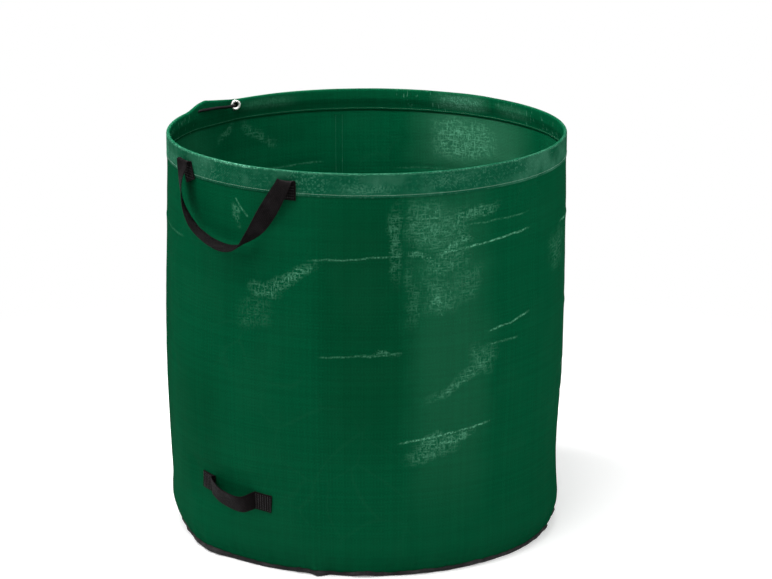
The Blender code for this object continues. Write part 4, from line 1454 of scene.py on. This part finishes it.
@dataclass
class RimHem:
    """The hem: a sleeve of lighter cloth folded over the rod, with a slit and an eyelet on its inside."""

    columns: int = 420
    seam_above: float = 0.0042
    throat_drop: float = 0.018
    taper_top: float = 0.664
    taper_depth: float = 0.016
    pinch_height: float = 0.645
    crest_dip: float = 0.0011
    wave_limit: float = 0.0006
    stitch_count: int = 600
    stitch: tuple[float, float] = (0.0027, 0.0008)
    slit_length: float = 0.040
    slit_height: float = 0.0125
    slit_shift: float = -1.6
    slit_rounding: float = 0.0032
    free_fold: Sequence[tuple[float, float]] = (
        (-96.0, 0.0),
        (-93.5, 0.0010),
        (-91.0, 0.0028),
        (-88.0, 0.0050),
        (-85.0, 0.0072),
        (-82.5, 0.0092),
        (-81.2, 0.0106),
        (-80.4, 0.0107),
        (-79.5, 0.0099),
        (-77.8, 0.0080),
        (-76.3, 0.0060),
        (-74.5, 0.0034),
        (-72.5, 0.0010),
        (-70.5, 0.0),
    )
    hole_radius: float = 0.0060
    finish: HemCloth = field(default_factory=HemCloth)
    piece: Piece | None = None
    threads: list[Piece] = field(default_factory=list)

    def section(self) -> tuple[np.ndarray, np.ndarray]:
        """Return the middle of the hem's cloth from its outer lower edge over the rod to its inner edge."""
        fold = SHAPE.sleeve_width / 2 - SHAPE.cloth / 2
        middle, over = SHAPE.rim_radius - SHAPE.sleeve_width / 2, SHAPE.height - SHAPE.sleeve_width / 2
        face = SHAPE.rim_radius - SHAPE.cloth / 2
        outside = [(face, level) for level in np.linspace(SHAPE.hem_bottom, over, 14, endpoint=False)]
        turns = np.radians(np.linspace(0, 180, 9))
        crest = [(middle + fold * math.cos(turn), over + fold * math.sin(turn)) for turn in turns]
        inner = SHAPE.rim_radius - SHAPE.sleeve_width + SHAPE.cloth / 2
        pinched = SHAPE.rim_radius - 3 * SHAPE.cloth - 0.0003
        inside = [(inner, level) for level in np.linspace(over, SHAPE.height - self.throat_drop, 7)[1:]]
        shares = (0.2, 0.4, 0.6, 0.8, 1.0)
        top, depth = self.taper_top, self.taper_depth
        inside += [(inner + (pinched - inner) * share, top - depth * share) for share in shares]
        inside += [(pinched, level) for level in (self.pinch_height, SHAPE.hem_bottom + 0.0004)]
        line = np.array(outside + crest + inside)
        steps = np.hypot(*np.diff(line, axis=0).T)
        return line, np.concatenate([[0], np.cumsum(steps)])

    def risen(self, angle: np.ndarray, height: np.ndarray) -> np.ndarray:
        """Return how far the free fold stands up where no rod is in it, with a corner over the slit."""
        places, rises = zip(*self.free_fold)
        return np.interp(angle, places, rises) * ease((height - 0.655) / 0.020)

    def waviness(self, angle: np.ndarray, height: np.ndarray) -> np.ndarray:
        """Return the small unevenness of the hem, which grows towards its lower edge."""
        places = round_points(angle, np.full_like(height + 0 * angle, SHAPE.rim_radius), height + 0 * angle)
        low = ease((0.668 - height) / 0.024)
        return rough(places, 30.0, 7.0) * 0.00035 * low + rough(places, 9.0, 3.0) * 0.0004

    def build(self) -> None:
        """Make the hem's cloth, then cut the slit and the eyelet's hole through its inner layer."""
        line, run = self.section()
        way = np.gradient(line, axis=0)
        normal = np.stack([way[:, 1], -way[:, 0]], axis=-1)
        normal /= np.linalg.norm(normal, axis=1, keepdims=True)
        half = SHAPE.cloth / 2
        loop = np.concatenate([line + normal * half, (line - normal * half)[::-1]])
        turns = np.linspace(0, 360, self.columns, endpoint=False) - 180
        turns = np.union1d(turns, np.linspace(SHAPE.eyelet_angle - 3.6, SHAPE.eyelet_angle + 3.6, 25))
        angle = turns[:, None] + 0 * loop[None, :, 0]
        height = loop[None, :, 1] + 0 * angle
        waves = rough(round_points(angle, 0 * angle + 0.3, 0 * angle), 14.0, 2.0)
        height = np.minimum(height, SHAPE.height - self.crest_dip * (1 + waves) / 2)
        height = height + self.risen(angle, height)
        wave = np.minimum(self.waviness(angle, height), self.wave_limit)
        radii = loop[None, :, 0] - SHAPE.slack(angle) + wave
        half_sleeve = SHAPE.sleeve_width / 2
        inner = ease((SHAPE.rim_radius - half_sleeve - loop[None, :, 0]) / (half_sleeve - SHAPE.cloth))
        radii = radii + SHAPE.eyelet_pull(angle, height) * inner
        on_cloth = np.radians(np.append(turns, 180.0)) * SHAPE.rim_radius
        along = np.concatenate([run, run[::-1]])
        uv = np.stack(np.broadcast_arrays(on_cloth[:, None], along[None, :]), axis=-1)
        self.piece = cloth_piece("rim_hem_cloth", round_points(angle, radii, height), uv, True)
        self.cut_openings()
        keep_rest_place(self.piece)

    def cut_openings(self) -> None:
        """Cut a rounded slit and a round hole with two modelled cutters."""
        inner = SHAPE.rim_radius - SHAPE.sleeve_width
        bpy.ops.object.select_all(action="DESELECT")
        bpy.ops.mesh.primitive_cube_add(size=1)
        slit = bpy.context.object
        slit.scale = (self.slit_length, self.slit_height, SHAPE.sleeve_width)
        middle = SHAPE.slit_angle + self.slit_shift
        turn = Matrix((sideways(middle), UP, outward(middle))).transposed().to_4x4()
        place = Matrix.Translation(at(middle, inner - 0.001, SHAPE.height - SHAPE.slit_drop)) @ turn
        settle(slit, place @ Matrix.Diagonal((*slit.scale, 1)))
        rounding = slit.modifiers.new("rounding", "BEVEL")
        rounding.width = self.slit_rounding
        rounding.segments = 4
        rounding.limit_method = "NONE"
        apply_modifiers(slit)
        bpy.ops.object.select_all(action="DESELECT")
        bpy.ops.mesh.primitive_cylinder_add(
            vertices=32, radius=self.hole_radius, depth=SHAPE.sleeve_width
        )
        hole = bpy.context.object
        turn = Matrix((sideways(SHAPE.eyelet_angle), UP, outward(SHAPE.eyelet_angle))).transposed().to_4x4()
        middle = at(SHAPE.eyelet_angle, inner, SHAPE.height - SHAPE.eyelet_drop)
        settle(hole, Matrix.Translation(middle) @ turn)
        for cutter in (slit, hole):
            cut = self.piece.modifiers.new("opening", "BOOLEAN")
            cut.operation = "DIFFERENCE"
            cut.solver = "EXACT"
            cut.object = cutter
        apply_modifiers(self.piece)
        for cutter in (slit, hole):
            bpy.data.objects.remove(cutter, do_unlink=True)

    def ring_of_stitches(self, radius: float, height: float, side: int) -> list[Stitch]:
        """Return a row of stitches right round the hem.

        Args:
            radius: The radius of the cloth's face there.
            height: The height of the row.
            side: 1 for the outer face, -1 for the inner one.

        Returns:
            The stitches.
        """
        stitches = []
        for number in range(self.stitch_count):
            angle = 360 * number / self.stitch_count - 180
            wave = float(self.waviness(np.array([[angle]]), np.array([[height]]))[0, 0])
            reach = radius - float(SHAPE.slack(angle)) + min(wave, self.wave_limit) + side * 0.0001
            stitches.append(Stitch(at(angle, reach, height), sideways(angle), outward(angle) * side))
        return stitches

    def dress(self) -> None:
        """Give the hem its finish, its two rows of stitches and its place on the rim."""
        self.piece.data.materials.append(self.finish.material("hem_cloth"))
        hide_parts("rim_hem")
        low = SHAPE.hem_bottom + self.seam_above
        outer = self.ring_of_stitches(SHAPE.rim_radius, low, 1)
        inner = self.ring_of_stitches(SHAPE.rim_radius - 4 * SHAPE.cloth, low, -1)
        pale, green = PALE_THREAD.material("pale_hem_thread"), green_thread_material()
        rows = (("hem_thread_outside", outer, pale), ("hem_thread_inside", inner, green))
        for name, stitches, thread in rows:
            row = sewn(name, stitches, *self.stitch)
            row.data.materials.append(thread)
            self.threads.append(row)
        for piece in (self.piece, *self.threads):
            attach(piece, "rim")


@dataclass
class RodAndEyelet:
    """The rod in the hem, bare between its slit and the eyelet, and the pressed metal eyelet."""

    rod_drop: float = 0.008
    hole: float = 0.0048
    barrel: float = 0.00055
    flange: float = 0.0091
    bead: float = 0.0012
    neck: float = 0.0024
    washer_radius: float = 0.0069
    plastic: RodPlastic = field(default_factory=RodPlastic)
    metal: EyeletMetal = field(default_factory=EyeletMetal)
    rod: Piece | None = None
    ring: Piece | None = None
    washer: Piece | None = None

    def face(self) -> float:
        """Return the radius of the hem's inner face at the eyelet."""
        return SHAPE.rim_radius - SHAPE.sleeve_width

    def rod_line(self) -> list[Vector]:
        """Return the rod's middle line: tip in the eyelet, bare to the slit, then round in the sleeve."""
        eyelet, slit = SHAPE.eyelet_angle, SHAPE.slit_angle
        span = slit - eyelet
        high, low = SHAPE.height - SHAPE.eyelet_drop, SHAPE.height - SHAPE.slit_drop
        deep = SHAPE.height - self.rod_drop
        inner = self.face()
        bare = inner - self.bead - SHAPE.rod_radius - 0.0003
        tip = at(eyelet, inner + 0.0018, high)
        along, inwards = SHAPE.eyelet_ways()
        bends = ((0.0, 0.0), (0.0007, 0.0022), (0.0021, 0.0040), (0.0045, 0.0058))
        points = [tip + along * run + inwards * depth for run, depth in bends]
        marks = ((0.10, 0.0000, 0.0), (0.30, 0.0004, 0.2), (0.55, 0.0009, 0.7), (0.80, 0.0014, 0.95))
        for share, nearer, fall in marks:
            angle = eyelet + share * span
            reach = bare + nearer - float(SHAPE.slack(angle))
            points.append(at(angle, reach, high + (low - high) * fall))
        sleeve = SHAPE.rim_radius - SHAPE.sleeve_width / 2
        points.append(at(slit, (inner - SHAPE.rod_radius + sleeve) / 2, low))
        falls = ((0.12, 0.3), (0.20, 0.7), (0.28, 1.0))
        points += [at(slit + share * span, sleeve, low + (deep - low) * fall) for share, fall in falls]
        ring = [at(angle, sleeve, deep) for angle in np.arange(slit + 0.28 * span + 2, 360 + eyelet - 4, 2.0)]
        return smooth_path(points, 6) + ring

    def build(self) -> None:
        """Make the rod, the rolled eyelet and the washer behind the cloth."""
        self.rod = swept_rod("bare_rod", self.rod_line(), SHAPE.rod_radius)
        hole, barrel, flange, bead = self.hole, self.hole + self.barrel, self.flange, self.bead
        crest = [(0.5, 0.55), (0.62, 0.9), (0.75, 1.0), (0.88, 0.85), (0.96, 0.5), (1.0, 0.1)]
        rings = [(hole, -self.neck), (hole, 0.0), (hole * 1.03, bead * 0.45)]
        rings += [(hole + (flange - hole) * (share - 0.45) / 0.55, bead * rise) for share, rise in crest]
        rings += [(flange * 0.97, 0.0), (barrel * 1.06, 0.0001), (barrel, -0.0003), (barrel, -self.neck)]
        self.ring = turned_ring("eyelet_rolled", rings, 56)
        place = self.eyelet_place(self.face() - float(SHAPE.slack(SHAPE.eyelet_angle)) - 0.0002)
        settle(self.ring, place)
        near, outer = barrel + 0.0002, self.washer_radius
        rings = [(near, 0.0), (near, -0.0003), (near * 1.1, -0.00055)]
        rings += [(outer * 0.9, -0.0005), (outer, -0.0002), (outer, 0.0)]
        self.washer = turned_ring("eyelet_back_washer", rings, 48)
        settle(self.washer, self.eyelet_place(self.face() + (SHAPE.cloth + 0.0003)))

    def eyelet_place(self, reach: float) -> Matrix:
        """Return the place of the eyelet's pieces, whose own Z looks into the bag."""
        along, inwards = SHAPE.eyelet_ways()
        turn = Matrix((-along, UP, inwards)).transposed().to_4x4()
        return Matrix.Translation(at(SHAPE.eyelet_angle, reach, SHAPE.height - SHAPE.eyelet_drop)) @ turn

    def dress(self) -> None:
        """Give the pieces their finishes and their place on the rim."""
        metal = self.metal.material("eyelet_metal")
        self.rod.data.materials.append(self.plastic.material("rod_plastic"))
        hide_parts("rim_hoop")
        for piece, node in ((self.ring, "eyelet_ring"), (self.washer, "eyelet_washer")):
            piece.data.materials.append(metal)
            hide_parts(node)
        for piece in (self.rod, self.ring, self.washer):
            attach(piece, "rim")


@dataclass(frozen=True)
class Webbing:
    """A length of flat webbing with rounded edges."""

    width: float = 0.030
    thickness: float = 0.0015
    back_start: float = 0.0655
    stitch: tuple[float, float] = (0.0026, 0.0007)
    stitch_pitch: float = 0.0030

    def section(self) -> np.ndarray:
        """Return the webbing's section as shares of its half width and half thickness."""
        edge = [(1.0, 0.0), (0.992, 0.55), (0.965, 0.92)]
        flat = [(share, 1.0) for share in (0.90, 0.45, 0.0, -0.45, -0.90)]
        half = edge + flat + [(-across, thick) for across, thick in reversed(edge)]
        return np.array(half + [(across, -thick) for across, thick in reversed(half[1:-1])])

    def strap(self, name: str, middles: Sequence[Vector], across: Sequence[Vector]) -> Piece:
        """Make a strap along a path.

        Args:
            name: The piece's name.
            middles: The middle line.
            across: The way the width lies at each point.

        Returns:
            The strap, closed at both ends.
        """
        line = np.array(middles)
        ways = np.gradient(line, axis=0)
        ways /= np.linalg.norm(ways, axis=1, keepdims=True)
        wide = np.array(across)
        wide = wide - ways * np.einsum("ij,ij->i", wide, ways)[:, None]
        wide /= np.linalg.norm(wide, axis=1, keepdims=True)
        facing = np.cross(ways, wide)
        section = self.section() * (self.width / 2, self.thickness / 2)
        points = line[:, None] + wide[:, None] * section[None, :, :1] + facing[:, None] * section[None, :, 1:]
        run = np.concatenate([[0], np.cumsum(np.linalg.norm(np.diff(line, axis=0), axis=1))])
        sides = np.where(section[:, 1] >= 0, section[:, 0], self.back_start - section[:, 0])
        uv = np.stack(np.broadcast_arrays(sides[None, :], run[:, None]), axis=-1)
        return cloth_piece(name, points, uv, False)

    def row_of_stitches(self, middle: Vector, across: Vector, facing: Vector, width: float) -> list[Stitch]:
        """Return one row of stitches across the webbing.

        Args:
            middle: The middle of the row, on the webbing's face.
            across: The way along the row.
            facing: The way out of the face.
            width: The row's length.

        Returns:
            The stitches.
        """
        count = round(width / self.stitch_pitch)
        shares = ((number + 0.5) / count - 0.5 for number in range(count))
        return [Stitch(middle + across * (width * share), across, facing) for share in shares]


class Side(Enum):
    """Which side of the bag a carry handle is on."""

    FRONT = -1
    BACK = 1


@dataclass
class CarryHandle:
    """A carry handle: one length of webbing, sewn to the hem at both ends, with a loop that hangs free."""

    side: Side
    half_spread: float = 19.5
    left_tab: tuple[float, float] = (16.7, 18.8)
    reach: float = 0.0085
    hinge_height: float = 0.6635
    tab_low: float = 0.634
    stitch_levels: Sequence[float] = (0.6385, 0.6430, 0.6475, 0.6520, 0.6565)
    fold_depth: float = 0.007
    fold_rise: float = 0.0026
    hang: float = 0.1215
    lean: float = 16.0
    steps: int = 12
    line: Sequence[tuple[float, float]] = (
        (-1.00, 0.00),
        (-0.98, 0.24),
        (-0.90, 0.45),
        (-0.75, 0.65),
        (-0.52, 0.83),
        (-0.21, 0.95),
        (0.12, 1.00),
        (0.36, 0.95),
        (0.52, 0.82),
        (0.66, 0.65),
        (0.79, 0.42),
        (0.91, 0.19),
        (1.00, 0.00),
    )
    twist: Sequence[tuple[float, float]] = (
        (0.00, 0.0),
        (0.03, 24.0),
        (0.08, 40.0),
        (0.16, 51.0),
        (0.24, 70.0),
        (0.33, 88.0),
        (0.44, 101.0),
        (0.54, 114.0),
        (0.60, 119.0),
        (0.635, 118.0),
        (0.66, 105.0),
        (0.70, 89.0),
        (0.74, 74.0),
        (0.80, 55.0),
        (0.87, 30.0),
        (0.94, 10.0),
        (1.00, 0.0),
    )
    webbing: Webbing = field(default_factory=Webbing)
    piece: Piece | None = None
    thread: Piece | None = None

    def facing(self) -> Vector:
        """Return the level way that the handle faces."""
        return Vector((0, self.side.value, 0))

    def length_way(self) -> Vector:
        """Return the level way from the handle's left end to its right one."""
        return Vector((-self.side.value, 0, 0))

    def half_length(self) -> float:
        """Return half the way between the two folds."""
        return SHAPE.rim_radius * math.sin(math.radians(self.half_spread))

    def hinge(self) -> Vector:
        """Return the middle of the line about which the loop swings."""
        level = SHAPE.rim_radius * math.cos(math.radians(self.half_spread)) + self.reach
        return self.facing() * level + UP * self.hinge_height

    def sewn_ways(self, hand: int, share: float) -> tuple[Vector, Vector]:
        """Return the ways out from the hem and along it at one sewn end, a share of its height up."""
        low, high = self.left_tab
        angle = self.half_spread if hand > 0 else -(low + (high - low) * share)
        return outward(angle) * -self.side.value, sideways(angle) * -self.side.value

    def tab(self, hand: int) -> tuple[list[Vector], list[Vector]]:
        """Draw one sewn end from its lower edge up the hem and over its fold.

        Args:
            hand: -1 for the left end, 1 for the right end.

        Returns:
            The middle line up to the hinge, and the way its width lies.
        """
        length_way = self.length_way()
        end = self.hinge() + length_way * (self.half_length() * hand)
        face = SHAPE.rim_radius + 0.0004 + self.webbing.thickness / 2
        middles, across = [], []
        for share in np.linspace(0, 1, 12):
            lift = 0.0004 * math.sin(math.pi * share) + 0.0003 * (1 - share)
            level = self.tab_low + (self.hinge_height - 0.0012 - self.tab_low) * float(share)
            away, beside = self.sewn_ways(hand, float(share))
            middles.append(away * (face + lift) + UP * level)
            across.append(beside)
        top = middles[-1]
        for share in np.linspace(0, 1, 12)[1:-1]:
            turn = math.pi * float(share)
            level = top.lerp(end, (1 - math.cos(turn)) / 2)
            middles.append(level + UP * (self.fold_rise * math.sin(turn)))
            across.append(beside.lerp(length_way, float(ease(share))).normalized())
        return middles, across

    def loop(self) -> tuple[list[Vector], list[Vector]]:
        """Draw the hanging loop.

        Returns:
            The middle line from hinge to hinge, and the way its width lies.
        """
        lean = math.radians(self.lean)
        down = self.facing() * math.sin(lean) - UP * math.cos(lean)
        normal = self.facing() * math.cos(lean) + UP * math.sin(lean)
        hinge, along, half = self.hinge(), self.length_way(), self.half_length()
        marks = [hinge + along * (half * run) + down * (self.hang * drop) for run, drop in self.line]
        points = smooth_path(marks, self.steps)
        steps = [0.0] + [(after - before).length for before, after in zip(points, points[1:])]
        shares = np.cumsum(steps) / sum(steps)
        turns = np.radians(np.interp(shares, *zip(*self.twist)))
        turns = np.convolve(np.pad(turns, 6, mode="edge"), np.full(13, 1 / 13), mode="valid")
        last = len(points) - 1
        across = []
        for step, turn in enumerate(turns):
            way = (points[min(step + 1, last)] - points[max(step - 1, 0)]).normalized()
            flat = normal.cross(way).normalized()
            across.append(flat * math.cos(turn) + normal * math.sin(turn))
        return points, across

    def build(self) -> None:
        """Make the whole length of webbing, and the thread of its two sewn boxes."""
        left, left_across = self.tab(-1)
        middle, middle_across = self.loop()
        right, right_across = self.tab(1)
        path = left + middle + right[::-1]
        across = left_across + middle_across + [-way for way in right_across[::-1]]
        name = self.side.name.lower()
        self.piece = self.webbing.strap(f"{name}_handle_webbing", path, across)
        stitches = []
        for hand in (-1, 1):
            face = SHAPE.rim_radius + 0.0008 + self.webbing.thickness
            for level in self.stitch_levels:
                share = (level - self.tab_low) / (self.hinge_height - self.tab_low)
                away, beside = self.sewn_ways(hand, share)
                stitches += self.webbing.row_of_stitches(away * face + UP * level, beside, away, 0.025)
        self.thread = sewn(f"{name}_handle_thread", stitches, *self.webbing.stitch)

    def dress(self) -> None:
        """Give the handle its finish, put its place into its mesh and its thread on the rim."""
        name = self.side.name.lower()
        self.piece.data.materials.append(webbing_material())
        self.thread.data.materials.append(black_thread_material())
        nodes = [f"{name}_handle_strap", f"{name}_handle_tab_left", f"{name}_handle_tab_right"]
        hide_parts(*nodes)
        start, end = self.hinge(), self.hinge() + self.facing() * self.fold_depth
        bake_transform(self.piece)
        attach(self.thread, "rim")


@dataclass
class EmptyingHandle:
    """The emptying handle: webbing sewn flat on the wall at both ends, its middle standing out."""

    wall: ClothWall
    height: float = 0.124
    slope: float = -0.00046
    seam_angle: float = 7.8
    end_angle: float = 13.4
    hinge_reach: float = 0.32845
    fold_depth: float = 0.016
    steps: int = 8
    line: Sequence[tuple[float, float, float]] = (
        (-1.02, 0.0065, 0.1280),
        (-0.80, 0.0130, 0.1262),
        (-0.34, 0.0200, 0.1208),
        (0.22, 0.0240, 0.1176),
        (0.64, 0.0250, 0.1166),
        (0.87, 0.0215, 0.1170),
        (0.97, 0.0110, 0.1190),
    )
    webbing: Webbing = field(default_factory=Webbing)
    piece: Piece | None = None
    thread: Piece | None = None

    def on_wall(self, angle: float, off: float) -> tuple[Vector, Vector]:
        """Return a point over the wall, and the way up along the wall there."""
        level = self.height + self.slope * angle
        low, high = (self.wall.point(angle, level + rise, off) for rise in (-0.015, 0.015))
        return low.lerp(high, 0.5), (high - low).normalized()

    def build(self) -> None:
        """Make the whole length of webbing, and the thread of its two sewn ends."""
        off = 0.0006 + self.webbing.thickness / 2
        outer = [float(angle) for angle in np.linspace(-self.end_angle, -self.seam_angle, 12)]
        left = [self.on_wall(angle, off) for angle in outer]
        right = [self.on_wall(-angle, off) for angle in reversed(outer)]
        start, end = left[-1][0], right[0][0]
        half = (end.x - start.x) / 2
        marks = [Vector((half * run, start.y - reach, level)) for run, reach, level in self.line]
        points = smooth_path([start, *marks, end], self.steps)[1:-1]
        loose = [(point, UP + Vector((0, -12 * (start.y - point.y), 0))) for point in points]
        path = left + loose + right
        self.piece = self.webbing.strap("lower_handle_webbing", [p for p, _ in path], [w for _, w in path])
        stitches = []
        for reach in np.linspace(self.seam_angle + 0.5, self.end_angle - 0.4, 7):
            for angle in (-float(reach), float(reach)):
                middle, up = self.on_wall(angle, 0.0007 + self.webbing.thickness)
                stitches += self.webbing.row_of_stitches(middle, up, outward(angle), 0.026)
        self.thread = sewn("lower_handle_thread", stitches, *self.webbing.stitch)

    def dress(self) -> None:
        """Give the handle its finish, put its place into its mesh and its thread on the bag."""
        self.piece.data.materials.append(webbing_material())
        self.thread.data.materials.append(black_thread_material())
        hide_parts("lower_handle_strap", "lower_handle_end_left", "lower_handle_end_right")
        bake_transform(self.piece)
        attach(self.thread, "bag")


# The outer hem thread is pale green: its gleam along the hem's lower edge is painted into its colour.
PALE_THREAD = SewingThread((0.060, 0.160, 0.105), (0.170, 0.330, 0.245))
GREEN_THREAD = SewingThread((0.006, 0.060, 0.028), (0.020, 0.120, 0.060))
BLACK_THREAD = SewingThread((0.010, 0.010, 0.010), (0.035, 0.034, 0.034))


def webbing_material() -> Material:
    """Return the webbing's material, made once."""
    return bpy.data.materials.get("black_webbing_woven") or WebbingFinish().material("black_webbing_woven")


def green_thread_material() -> Material:
    """Return the green thread's material, made once."""
    return bpy.data.materials.get("green_seam_thread") or GREEN_THREAD.material("green_seam_thread")


def black_thread_material() -> Material:
    """Return the black thread's material, made once."""
    return bpy.data.materials.get("black_thread") or BLACK_THREAD.material("black_thread")


# Studio


@dataclass(frozen=True)
class Lamp:
    """A soft rectangular lamp."""

    name: str
    angle: float
    distance: float
    height: float
    width: float
    tall: float
    power: float
    aim: float = 0.34


@dataclass
class Studio:
    """The plain floor, the soft lamps and the camera."""

    view_angle: float = 41.2
    distance: float = 5.380
    aside: float = 0.0324
    eye: float = 1.859
    pitch: float = 15.15
    lens: float = 153.28
    world: float = 0.42
    lamps: Sequence[Lamp] = (
        Lamp("key_soft", 100.0, 2.6, 1.55, 0.55, 0.9, 33.0),
        Lamp("fill_soft", -12.0, 3.2, 2.2, 1.6, 1.6, 36.0),
        Lamp("top_soft", 20.0, 0.9, 3.0, 1.8, 1.8, 70.0),
        Lamp("mouth_soft", -50.0, 0.26, 1.75, 0.4, 0.4, 24.0),
        Lamp("high_soft", -45.0, 2.5, 3.2, 1.0, 1.0, 56.0),
    )

    def build(self) -> None:
        """Make the floor, the world, the lamps and the camera."""
        bpy.ops.object.select_all(action="DESELECT")
        bpy.ops.mesh.primitive_plane_add(size=60)
        floor = bpy.context.object
        floor.name = "studio_floor"
        floor.data.materials.append(StudioFloor().material("studio_floor"))
        self.light_world()
        for lamp in self.lamps:
            self.hang(lamp)
        self.aim_camera()
        bpy.context.scene.view_settings.view_transform = "Standard"

    def light_world(self) -> None:
        """Fill the room with even light, and show it white behind the bag."""
        world = bpy.data.worlds.new("studio")
        bpy.context.scene.world = world
        world.use_nodes = True
        graph = Graph(world.node_tree)
        seen = graph.add("ShaderNodeLightPath").outputs["Is Camera Ray"]
        strength = graph.choose(seen, self.world, 1.0)
        backdrop = graph.add("ShaderNodeBackground", {"Color": (1, 1, 1, 1), "Strength": strength})
        graph.add("ShaderNodeOutputWorld", {"Surface": backdrop.outputs[0]})

    def hang(self, lamp: Lamp) -> None:
        """Hang a lamp and aim it at the bag."""
        data = bpy.data.lights.new(lamp.name, "AREA")
        data.shape = "RECTANGLE"
        data.size, data.size_y, data.energy = lamp.width, lamp.tall, lamp.power
        item = bpy.data.objects.new(lamp.name, data)
        bpy.context.collection.objects.link(item)
        item.location = at(lamp.angle, lamp.distance, lamp.height)
        item.rotation_euler = (item.location - UP * lamp.aim).to_track_quat("Z", "Y").to_euler()

    def aim_camera(self) -> None:
        """Set the camera where the photograph was taken from."""
        data = bpy.data.cameras.new("camera")
        data.lens, data.sensor_width, data.sensor_fit = self.lens, 36.0, "HORIZONTAL"
        data.clip_end = 100.0
        camera = bpy.data.objects.new("camera", data)
        bpy.context.collection.objects.link(camera)
        aside = sideways(self.view_angle) * self.aside
        camera.location = at(self.view_angle, self.distance, self.eye) + aside
        camera.rotation_euler = (math.radians(90 - self.pitch), 0, math.radians(self.view_angle))
        bpy.context.scene.camera = camera


def main() -> None:
    """Build and dress the bag's pieces in order, then the studio."""
    logging.basicConfig(level=logging.INFO, format="%(name)s: %(message)s")
    Studio().build()
    wall = ClothWall()
    rod = RodAndEyelet()
    hem = RimHem()
    handles = [CarryHandle(side) for side in Side]
    lower = EmptyingHandle(wall)
    for assembly in (wall, Foot(), rod, hem, *handles, lower):
        assembly.build()
        assembly.dress()
        LOG.info("%s is made", type(assembly).__name__)


if __name__ == "__main__":
    main()
